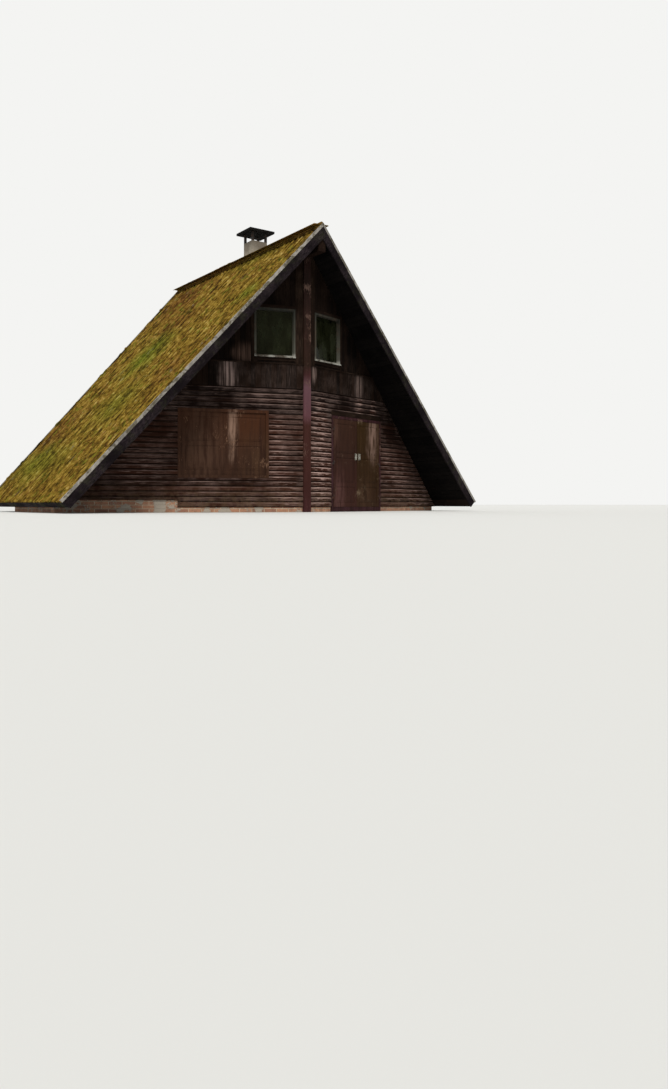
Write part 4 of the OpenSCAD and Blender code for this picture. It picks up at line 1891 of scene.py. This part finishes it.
    def moss_tree(self, side: Side) -> NodeTree:
        """Makes the node tree that lifts a flat grid to the moss surface and drops what stays bare.

        Args:
            side: the roof half, which sets the draw.

        Returns:
            The tree of the modifier.
        """
        tree = bpy.data.node_groups.new(f"moss_{side.name.lower()}", "GeometryNodeTree")
        tree.interface.new_socket(name="Geometry", in_out="INPUT", socket_type="NodeSocketGeometry")
        tree.interface.new_socket(name="Geometry", in_out="OUTPUT", socket_type="NodeSocketGeometry")
        source = tree.nodes.new("NodeGroupInput").outputs[0]
        place = add_node(tree, "GeometryNodeInputPosition")
        across = add_node(tree, SPLIT, {"Vector": place}).node.outputs["Y"]
        angle = weigh(tree, (across, 2 * math.pi / self.wave))
        swing = add_node(tree, MATH, {0: angle}, operation="COSINE")
        wave = weigh(tree, (weigh(tree, (swing, 1), plus=-1.0), self.amplitude))
        draw = 3.0 + side.value
        wide, clump, tuft, fringe = (
            add_node(
                tree, NOISE, {"Vector": place, "W": draw + shift, **lumps(size_mm, detail, 0.5)},
                noise_dimensions="4D",
            )
            for size_mm, detail, shift in self.moss_patterns
        )
        tufts = weigh(tree, (tuft, self.tuft_height), plus=self.mat_height)
        thick = mask(tree, tufts, Rise(clump, 0.36, 0.66))
        filled = weigh(tree, (thick, 1), (wave, -self.trough_fill), plus=self.patch_height)
        body = mask(tree, filled, Rise(wide, 0.48, 0.64))
        rim = mask(tree, Rise(fringe, 0.56, 0.7), self.fringe_height)
        moss = weigh(tree, (body, 1), (rim, 1))
        lift = add_node(tree, MERGE, {"Z": weigh(tree, (wave, 1), (moss, 1), plus=-self.moss_sunk)})
        moved = add_node(tree, "GeometryNodeSetPosition", {"Geometry": source, "Offset": lift})
        bare = add_node(tree, MATH, {0: moss, 1: self.moss_least}, operation="LESS_THAN")
        kept = add_node(
            tree, "GeometryNodeDeleteGeometry", {"Geometry": moved, "Selection": bare}, domain="POINT"
        )
        feed(tree.nodes.new("NodeGroupOutput"), {0: kept})
        return tree

    def ridge_moss(self) -> None:
        """Grows a ragged moss cushion along the ridge capping, with mounds by the chimney and at the back."""
        half, reach = self.ridge_half, -self.plan.verge_y - self.trim_width
        cells = (self.ridge_columns, round(2 * reach / self.ridge_cell))
        piece = self.grid("ridge_moss", (2 * half, 2 * reach), cells)
        for vertex in piece.data.vertices:
            x, y, _ = vertex.co
            flank = -abs(x) * math.tan(ROOF_PITCH) + self.capping_top
            capping = max(flank, math.sqrt(max(self.roll**2 - x**2, 0)))
            mound = sum(rise * math.exp(-(((y - middle) / width) ** 2)) for middle, width, rise in self.mounds)
            rough = noise.fractal(Vector((x * 9, y * 9, 4.2)), 0.9, 2.1, 4)
            patches = noise.noise(Vector((x * 1.5, y * 1.1, 8.1)))
            growth = max(patches * 0.05 + 0.012 + mound, 0) * (0.75 + 0.6 * rough)
            edge = 1 - (abs(x) / half) ** 2
            vertex.co.z = RIDGE_HEIGHT + capping + growth * max(edge, 0) ** 0.6 - self.ridge_sunk
        finish_with(piece, "SOLIDIFY", thickness=self.moss_sheet, offset=-1)
        self.plan.cut_to_verges(piece, self.trim_width)
        self.plan.to_side(piece, Side.LEFT, End.FRONT)
        smooth(piece, 60)
        deliver(piece, self.ridge_finish)


@dataclass
class Cushions:
    """Moss cushions along the verge trims, one modelled and copied, each copy with its own size and lumps."""

    plan: Plan
    finish: Material
    each: int = 15
    seed: int = 17
    ridge_gap: float = 0.5
    eave_gap: float = 0.3
    foot: float = -0.25
    edge_gap: float = 0.012
    stand: float = 0.005
    half_width: tuple[float, float] = (0.02, 0.042)
    half_length: tuple[float, float] = (0.035, 0.11)
    height: tuple[float, float] = (0.012, 0.026)
    lumpy: float = 0.35

    def build(self) -> None:
        """Models the first cushion and sets its copies on all four verges."""
        rng = np.random.default_rng(self.seed)
        deselect_all()
        bpy.ops.mesh.primitive_ico_sphere_add(subdivisions=3, radius=1)
        first = bpy.context.active_object
        with editing(first):
            bpy.ops.mesh.select_all(action="SELECT")
            bpy.ops.mesh.bisect(
                plane_co=(0, 0, self.foot), plane_no=(0, 0, -1), use_fill=True, clear_outer=True
            )
        copies = []
        for end in End:
            for side in Side:
                draw = rng.uniform(self.ridge_gap, self.plan.slope_length - self.eave_gap, self.each)
                for down in np.sort(draw):
                    copies.append(self.one_cushion(first, rng, float(down), side, end))
        bpy.data.objects.remove(first)
        piece = join("moss_cushions", copies)
        smooth(piece, 60)
        deliver(piece, self.finish)

    def one_cushion(
        self, first: Object, rng: np.random.Generator, down: float, side: Side, end: End
    ) -> Object:
        """Copies the cushion to one place on a verge, with its own size and lumps.

        Args:
            first: the cushion to copy.
            rng: the draw for its size.
            down: distance from the ridge.
            side: the roof half.
            end: the verge.

        Returns:
            The copy, in the cabin's frame.
        """
        piece = copy_piece(first)
        spans = (self.half_width, self.half_length, self.height)
        wide, long, high = (rng.uniform(*span) for span in spans)
        shift = Vector(rng.uniform(0, 50, 3))
        for vertex in piece.data.vertices:
            bulge = 1 + self.lumpy * noise.noise(vertex.co * 1.6 + shift)
            vertex.co = Vector((vertex.co.x * long, vertex.co.y * wide, vertex.co.z * high)) * bulge
        verge = self.plan.verge_y + down * math.cos(ROOF_PITCH) * math.tan(self.plan.verge_splay)
        inset = self.edge_gap + wide + rng.uniform(0, 0.02)
        piece.data.transform(Matrix.Translation((down, verge + inset, self.stand)))
        self.plan.stand_on_roof(piece)
        self.plan.to_side(piece, side, end)
        return piece


@dataclass
class Soffits:
    """Matchboard under the overhangs, between the end walls and the bargeboards."""

    plan: Plan
    finish: Material
    start: float = 0.12
    width: float = 3.4
    foot: float = 0.05
    gap: float = 0.0005
    lowest: float = 0.27
    seed: int = 70
    wall_gap: float = 0.03
    edge_inset: float = 0.031

    def build(self) -> None:
        """Boards all four overhangs."""
        for side in Side:
            for end in End:
                self.soffit(side, end)

    def soffit(self, side: Side, end: End) -> None:
        """Boards the underside of one overhang, between the wall and the bargeboard.

        Args:
            side: the half of the cabin.
            end: the end of the cabin.
        """
        plan = self.plan
        run = (plan.underside - self.foot) / math.sin(ROOF_PITCH)
        seed = self.seed + side.value + 2 * end.value
        low, high = (self.start, 0), (run, self.width)
        boards = BoardField(SOFFIT_BOARD, Run.UPRIGHT, low, high, seed)
        piece = boards.build(f"soffit_boards_{end.name.lower()}_{side.name.lower()}")
        piece.data.transform(Matrix(((1, 0, 0, 0), (0, 0, 1, plan.verge_y), (0, 1, 0, 0), (0, 0, 0, 1))))
        depth = plan.panel_depth + self.gap
        piece.data.transform(Matrix.Translation((0, 0, -depth)))
        plan.stand_on_roof(piece)
        inwards = Vector((-math.sin(WALL_SPLAY), math.cos(WALL_SPLAY), 0))
        cut(piece, Vector((0, plan.nose_y, 0)) - inwards * self.wall_gap, inwards)
        verge = Vector((math.sin(plan.verge_splay), -math.cos(plan.verge_splay), 0))
        cut(piece, Vector((0, plan.verge_y, 0)) - verge * self.edge_inset, verge)
        plan.cut_to_post(piece)
        cut(piece, Vector((0, 0, self.lowest)), Vector((0, 0, -1)))
        plan.to_side(piece, side, end)
        smooth(piece, 30)
        deliver(piece, self.finish)


# Joinery


@dataclass
class Windows:
    """Glazing beads of the upper windows, inside their frames."""

    plan: Plan
    finish: Material
    member: float = 0.042
    bead: float = 0.012
    glass_face: float = 0.03
    glass_back: float = 0.036
    round_off: float = 0.004

    def build(self) -> None:
        """Beads every pane, outside and inside."""
        plan = self.plan
        for end in End:
            for side in Side:
                left, right = plan.window_start + self.member, plan.window_end - self.member
                low, high = plan.window_sill + self.member, plan.window_top - self.member
                rings = [
                    add_ring("bead", (left, face, low), (right, face + self.bead, high), self.bead)
                    for face in (self.glass_face - self.bead, self.glass_back)
                ]
                piece = join(f"glazing_beads_{end.name.lower()}_{side.name.lower()}", rings)
                ease_edges(piece, self.round_off)
                plan.stand_on_wall(piece)
                plan.to_side(piece, side, end)
                deliver(piece, self.finish)


@dataclass
class PanelWork:
    """Raised fields in the sunk panels of the door leaves and the shutters."""

    plan: Plan
    door_finishes: dict[str, Material]
    shutter_finish: Material
    stile: float = 0.095
    sunk: float = 0.008
    margin: float = 0.012
    frame_w: float = 0.06
    leaf_gap: float = 0.006
    leaf_w: float = 0.864
    leaf_low: float = 0.106
    leaf_high: float = 2.034
    low_rail: float = 0.6
    lock_rail: float = 1.24
    frame_proud: float = 0.03
    shutter_gap: float = 0.004
    blank_depth: float = 0.002
    bevel: tuple[float, float] = (0.035, 0.005)
    fillet: tuple[float, float] = (0.003, 0.0015)

    def build(self) -> None:
        """Makes the fields of both leaves and both shutters."""
        half = self.stile / 2
        doors = [
            (self.leaf_low + self.stile, self.low_rail - half),
            (self.low_rail + half, self.lock_rail - half),
            (self.lock_rail + half, self.leaf_high - self.stile),
        ]
        first = self.plan.door_start + self.frame_w + self.leaf_gap
        second = self.plan.door_end - self.frame_w - self.leaf_gap - self.leaf_w
        for body, start in (("left_leaf", first), ("right_leaf", second)):
            fields = [self.raised(start, self.leaf_w, low, high, -self.frame_proud) for low, high in doors]
            piece = join(f"door_panels_{body}", fields)
            self.plan.stand_on_wall(piece)
            deliver(piece, self.door_finishes[body], body)
        self.shutters()

    def raised(self, start: float, width: float, low: float, high: float, face: float) -> Object:
        """Makes one fielded panel: a flat field with bevelled margins, sunk in its frame.

        Args:
            start: where the leaf starts along the wall.
            width: the leaf's width.
            low: bottom of the sunk panel.
            high: top of the sunk panel.
            face: Y of the leaf's face in the wall's own frame.

        Returns:
            The panel, in the wall's own frame.
        """
        inner = self.stile + self.margin
        bottom = face + self.sunk
        panel = add_block(
            "panel", (start + inner, bottom - self.blank_depth, low + self.margin),
            (start + width - inner, bottom, high - self.margin),
        )
        pick_faces(panel, lambda centre, normal: normal.y < -0.9)
        with editing(panel):
            for thickness, depth in (self.bevel, self.fillet):
                bpy.ops.mesh.inset(thickness=thickness, depth=depth)
        return panel

    def shutters(self) -> None:
        """Makes the fields of the two shutters of the front window."""
        clear = self.plan.door_end - self.plan.door_start - 2 * self.frame_w
        width = (clear - self.shutter_gap) / 2
        bottom, top = self.plan.shutter_sill + self.frame_w, self.plan.door_top - self.frame_w
        middle, half = (bottom + top) / 2, self.stile / 2
        pieces = []
        for shift in (0, width + self.shutter_gap):
            start = self.plan.door_start + self.frame_w + shift
            for low, high in ((bottom + self.stile, middle - half), (middle + half, top - self.stile)):
                pieces.append(self.raised(start, width, low, high, 0))
        piece = join("shutter_panels", pieces)
        self.plan.stand_on_wall(piece)
        self.plan.to_side(piece, Side.LEFT, End.FRONT)
        deliver(piece, self.shutter_finish)


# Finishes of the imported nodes


@dataclass
class FrameFinishes:
    """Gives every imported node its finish."""

    nodes: dict[str, Object]

    def dress(self, finish: Finish, *names: str) -> None:
        """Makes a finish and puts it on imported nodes.

        Args:
            finish: the finish.
            names: the nodes that take it.
        """
        material = finish.build()
        for name in names:
            slots = self.nodes[name].data.materials
            slots.clear()
            slots.append(material)
            log.info("%s is dressed in %s", name, material.name)

    def build(self) -> None:
        """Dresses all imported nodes."""
        self.walls_and_post()
        self.joinery()
        self.metal_and_masonry()
        self.covering()
        self.timber()

    def walls_and_post(self) -> None:
        """Dresses the wall halves, whose inner faces show, and the painted uprights."""
        # Planed pine lining, oiled once: warm brown and dull, paler where it was touched.
        lining = Softwood("pine_lining", Grain.ACROSS, "#3a2418", "#6b4c33", "#8a6f52", worn_share=0.3)
        parts = ("front_wall", "back_wall", "front_band", "front_gable", "back_gable")
        self.dress(lining, *(name for name in self.nodes if name.startswith(parts)))
        # Maroon paint on the posts: faded to rose in the band's height, and painted near black higher up as the
        # gable's shade.
        maroon = OldPaint(
            "maroon_oil_paint", Grain.UPRIGHT, "#2c1415", "#4c2a2b", bare="#6a5349", height_share=0.75,
            by_height=(
                (0.0, "#3c201f"), (0.7, "#361c15"), (1.9, "#3b2119"), (2.1, "#603f44"), (2.7, "#64474e"),
                (2.95, "#38201e"), (3.15, "#191305"), (5.2, "#100d05"),
            ),
        )
        self.dress(maroon, "front_post", "back_post")
        # The same paint on the door frame, painted darker as the shade in the jamb.
        jamb = OldPaint("maroon_jamb_paint", Grain.UPRIGHT, "#25120f", "#3b2226", bare="#6a5349")
        self.dress(jamb, "door_frame")

    def joinery(self) -> None:
        """Dresses doors, shutters, windows and glass."""
        # Red-brown door paint: dull, rubbed paler by the lock rail and low down.
        left = OldPaint(
            "red_brown_door_paint", Grain.UPRIGHT, "#26140f", "#3a231a", bare="#5e4a3e", flaked=0.74,
            by_height=((0.1, "#3a211b"), (0.9, "#321a14"), (1.3, "#2f1b13"), (2.1, "#362116")),
            patches=(
                Patch((1.05, 0.4), (0.2, 0.5), 0.65, "#62433f"),
                Patch((0.95, 1.75), (0.14, 0.4), 0.4, "#5a4036"),
            ),
        )
        self.dress(left, "door_leaf_left")
        # Olive-brown door paint: greener than the other leaf, bleached high up on its outer stile.
        right = OldPaint(
            "olive_brown_door_paint", Grain.UPRIGHT, "#241504", "#3a2714", bare="#6b5a48", flaked=0.72,
            by_height=((0.1, "#352117"), (0.8, "#2e1c0d"), (2.1, "#31210c")),
            patches=(
                Patch((2.28, 1.7), (0.2, 0.6), 0.85, "#846a5e"),
                Patch((1.95, 0.35), (0.25, 0.4), 0.4, "#513a2c"),
            ),
        )
        self.dress(right, "door_leaf_right")
        # Orange-brown shutter paint: bleached beside the meeting stiles, warm above, dull below.
        brown = OldPaint(
            "orange_brown_shutter_paint", Grain.UPRIGHT, "#2c180e", "#42281a", bare="#7a5d49", flaked=0.73,
            by_height=((0.7, "#2e1e15"), (1.5, "#301c12"), (2.0, "#3a2113")),
            patches=(
                Patch((-1.5, 1.72), (0.1, 0.55), 0.8, "#a08270"),
                Patch((-1.15, 1.8), (0.4, 0.5), 0.6, "#40220f"),
                Patch((-0.98, 1.1), (0.35, 0.5), 0.5, "#493423"),
                Patch((-2.1, 1.4), (0.45, 0.8), 0.45, "#523d30"),
            ),
        )
        self.dress(brown, "shutters", "shuttered_window_frame")
        # Grey-white window paint, with a painted highlight on the bottom rail and painted shade that darkens it
        # higher up, under the eaves.
        pale = OldPaint(
            "grey_white_oil_paint", Grain.UPRIGHT, "#3c3b35", "#67635a", bare="#453c33", flaked=0.6,
            height_share=0.85,
            by_height=(
                (3.27, "#b6b4ab"), (3.32, "#97958c"), (3.38, "#4a4941"), (3.8, "#37372f"), (4.3, "#232420"),
            ),
        )
        self.dress(pale, "upper_window_frames_front", "upper_window_frames_back")
        self.dress(OldGlass(), "upper_window_glass")

    def metal_and_masonry(self) -> None:
        """Dresses handles, hinges, chimney, plinth, slab and verge metal."""
        # Brushed aluminium: the brightest spot of the doorway, with grey spots.
        handle = WornMetal("brushed_aluminium", "#b4b1a6", "#716e62", 0.52, 0.6, 0.45)
        self.dress(handle, "door_handle_left", "door_handle_right")
        # Rolled steel that has rusted: dark and almost without shine.
        hinge = WornMetal("rusted_steel", "#2c2422", "#472b1c", 0.5, 0.3, 0.78)
        self.dress(hinge, "hinge_knuckles_left", "hinge_knuckles_right", "hinge_knuckles_frame")
        # Steel bar in smoke: black with brown spots.
        posts = WornMetal("sooty_steel", "#2b2826", "#4b3526", 0.55, 0.5, 0.6)
        self.dress(posts, "chimney_cap_posts")
        # Cast concrete in smoke: a flat near-black shape against the sky.
        self.dress(LimeRender("sooty_concrete", "#141210", "#090807"), "chimney_cap")
        # Floated render: pale and stained, with soot under the cap.
        self.dress(LimeRender("lime_render", "#a59b8b", "#776d60", soot_share=0.6), "chimney_stack")
        # Floor slab, floated by hand: plain cool grey.
        self.dress(LimeRender("ground_concrete", "#7f7a70", "#5f5b53"), "ground_floor")
        self.dress(OldMasonry(), "plinth_front", "plinth_back", "plinth_sides")
        self.dress(GreyZinc(), "verge_trims", "chimney_flashing")

    def covering(self) -> None:
        """Dresses the roof covering under the corrugated sheets and the ridge capping."""
        for side in Side:
            name = side.name.lower()
            self.dress(MossyCement(f"mossy_fibre_cement_{name}", side), f"roof_cover_{name}")
        # The capping has no waves, less green and a russet strip along the ridge.
        self.dress(MossyCement("mossy_ridge_cement", Side.LEFT, **RIDGE_MOSS), "ridge_cap")

    def timber(self) -> None:
        """Dresses the frame's timber, the loft floor, the panels' underside and the roof's edge boards."""
        # Sawn spruce of the frame: dry, warm brown with long fibres.
        for name, grain in (("left", Grain.LEFT_SLOPE), ("right", Grain.RIGHT_SLOPE)):
            rafter = Softwood(f"rafter_timber_{name}", grain, "#4b3120", "#7c5a3b", "#94795a")
            self.dress(rafter, f"rafters_{name}")
        self.dress(Softwood("joist_timber", Grain.ACROSS, "#4b3120", "#7c5a3b", "#94795a"), "loft_joists")
        # The ridge beam's ends: painted nearly black as the shade under the ridge.
        ridge = Softwood("ridge_timber", Grain.RIDGE, "#170e0a", "#2f1f18", "#463529")
        self.dress(ridge, "ridge_beam")
        # Planed pine floor boards: the palest wood of the cabin, with dark gaps.
        loft = Softwood("pine_loft_boards", Grain.RIDGE, "#5d4128", "#8d6c46", "#a58863", board_width=0.24)
        self.dress(loft, "loft_floor")
        # Sawn boards under the covering: painted dark brown as shade, because no light reaches them.
        deck = Softwood("sarking_boards", Grain.RIDGE, "#1d1510", "#382a21", "#4d3e32")
        self.dress(deck, "roof_deck_left", "roof_deck_right")
        # Bargeboards in the weather: black-brown with grey fibres and a little algae.
        verge = Softwood(
            "weathered_bargeboard", Grain.LEFT_SLOPE, "#100c0e", "#261d20", "#4c4145", green=0.1
        )
        self.dress(verge, "bargeboards_front", "bargeboards_back")
        # Fascias at the wet eaves: greyer and greener.
        fascia = Softwood(
            "weathered_fascia", Grain.RIDGE, "#151114", "#32292d", "#5a5055", worn_share=0.5, green=0.35
        )
        self.dress(fascia, "eave_fascias")


# Stage


@dataclass(frozen=True)
class Studio:
    """Floor, light and camera. The camera stands where lines fitted to the photograph put it."""

    turn: float = 0.61678
    distance: float = 20.3708
    side: float = 2.2137
    eye: float = 0.186
    focal_px: float = 860.86
    horizon_px: float = 503.23
    frame_px: float = 1089
    sensor_mm: float = 36
    view_end: float = 400
    floor_radius: float = 90
    floor_drop: float = 0.002
    sun_tilt: float = 42
    sun_turn: float = -38
    sun_strength: float = 2.5
    sun_spread: float = 16
    sun_colour: tuple[float, float, float] = (1.0, 0.97, 0.92)
    sky_strength: float = 0.58

    def camera(self) -> None:
        """Adds the level camera."""
        ahead = Vector((math.sin(self.turn), math.cos(self.turn), 0))
        right = Vector((math.cos(self.turn), -math.sin(self.turn), 0))
        deselect_all()
        place = right * self.side - ahead * self.distance + Vector((0, 0, self.eye))
        bpy.ops.object.camera_add(location=place, rotation=(math.pi / 2, 0, -self.turn))
        camera = bpy.context.active_object
        camera.name = "photo_camera"
        camera.data.sensor_width = self.sensor_mm
        camera.data.lens = self.focal_px * self.sensor_mm / self.frame_px
        camera.data.shift_y = (self.horizon_px - self.frame_px / 2) / self.frame_px
        camera.data.clip_end = self.view_end
        bpy.context.scene.camera = camera

    def floor(self) -> None:
        """Adds the pale floor."""
        deselect_all()
        bpy.ops.mesh.primitive_circle_add(
            vertices=96, radius=self.floor_radius, fill_type="NGON", location=(0, 0, -self.floor_drop)
        )
        floor = bpy.context.active_object
        floor.name = "studio_floor"
        bpy.ops.object.transform_apply(location=True, rotation=True, scale=True)
        material = bpy.data.materials.new("matt_studio_floor")
        material.use_nodes = True
        tree = material.node_tree
        cloud = add_node(tree, NOISE, {"Scale": 0.4, "Detail": 2})
        tint = coats(tree, "#dddcd8", [("#e3e2de", cloud)])
        feed(tree.nodes["Principled BSDF"], {"Base Color": tint, "Roughness": 0.9})
        floor.data.materials.append(material)

    def light(self) -> None:
        """Adds a broad key from the upper left, and a level sky from all round."""
        deselect_all()
        bpy.ops.object.light_add(
            type="SUN", rotation=(math.radians(self.sun_tilt), 0, math.radians(self.sun_turn))
        )
        key = bpy.context.active_object
        key.data.energy = self.sun_strength
        key.data.angle = math.radians(self.sun_spread)
        key.data.color = self.sun_colour
        world = bpy.data.worlds.new("studio")
        bpy.context.scene.world = world
        world.use_nodes = True
        tree = world.node_tree
        sky = tree.nodes["Background"]
        feed(sky, {"Color": "#e9eef2", "Strength": self.sky_strength})
        seen = add_node(tree, "ShaderNodeBackground", {"Color": "#f4f4f2", "Strength": 1.0})
        rays = add_node(tree, "ShaderNodeLightPath").node.outputs
        direct = strongest(
            tree, rays["Is Camera Ray"], rays["Is Glossy Ray"], rays["Is Transmission Ray"]
        )
        mixed = add_node(tree, "ShaderNodeMixShader", {0: direct, 1: sky.outputs[0], 2: seen})
        feed(tree.nodes["World Output"], {"Surface": mixed})

    def build(self) -> None:
        """Sets the stage."""
        self.camera()
        self.floor()
        self.light()
        bpy.context.scene.view_settings.view_transform = "Standard"


def main() -> None:
    """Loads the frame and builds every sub-assembly in order."""
    logging.basicConfig(level=logging.INFO, format="%(message)s")
    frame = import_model()
    deselect_all()
    plan = Plan.from_frame()
    FrameFinishes(frame["nodes"]).build()
    # Half-log boards in dark brown stain: painted shade below each log and on the top rows, and rose-grey tops
    # that are partly bleach where rain and sun took it off and partly painted highlight.
    boards = Softwood(
        "stained_log_boards", Grain.OWN_MAP, "#120906", "#392118", "#c0a298", worn_share=0.2, lit_share=0.26,
        splash=0.4, painted_shade_above=2.15, patches=LOG_WEAR,
    )
    # Boards of the band: the same stain, hardly weathered under the ledge.
    band = Softwood(
        "stained_band_boards", Grain.OWN_MAP, "#0b0705", "#20150f", "#a38c84", worn_share=0.1, patches=BAND_WEAR
    )
    # Boards of the gable: painted nearly black as the roof's shade.
    gable = Softwood(
        "stained_gable_boards", Grain.OWN_MAP, "#060403", "#1a110c", "#5a463c", worn_share=0.12,
        patches=GABLE_WEAR,
    )
    # Ledges, casings and the board over the door: a little lighter than the walls.
    trim = Softwood("stained_trim", Grain.OWN_MAP, "#150d09", "#35261c", "#57463a", worn_share=0.3)
    WallBoards(plan, boards.build(), band.build(), gable.build(), trim.build()).build()
    # Matchboard under the overhangs: painted black as shade, with a trace of its fibres.
    soffit = Softwood("soffit_painted_shade", Grain.OWN_MAP, "#040303", "#100d0c", "#24201d", worn_share=0.3)
    sheets, mosses = {}, {}
    for side in Side:
        sheets[side] = bpy.data.materials[f"mossy_fibre_cement_{side.name.lower()}"]
        # Living moss on the sheets: the same golds, greener.
        mosses[side] = MossyCement(f"living_moss_{side.name.lower()}", side, green_share=0.992).build()
    Roof(plan, sheets, mosses, bpy.data.materials["mossy_ridge_cement"]).build()
    Soffits(plan, soffit.build()).build()
    Cushions(plan, mosses[Side.LEFT]).build()
    Windows(plan, bpy.data.materials["grey_white_oil_paint"]).build()
    paints = {body: bpy.data.materials[name] for body, name in LEAF_PAINTS.items()}
    PanelWork(plan, paints, bpy.data.materials["orange_brown_shutter_paint"]).build()
    Studio().build()
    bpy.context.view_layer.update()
    deselect_all()


if __name__ == "__main__":
    main()
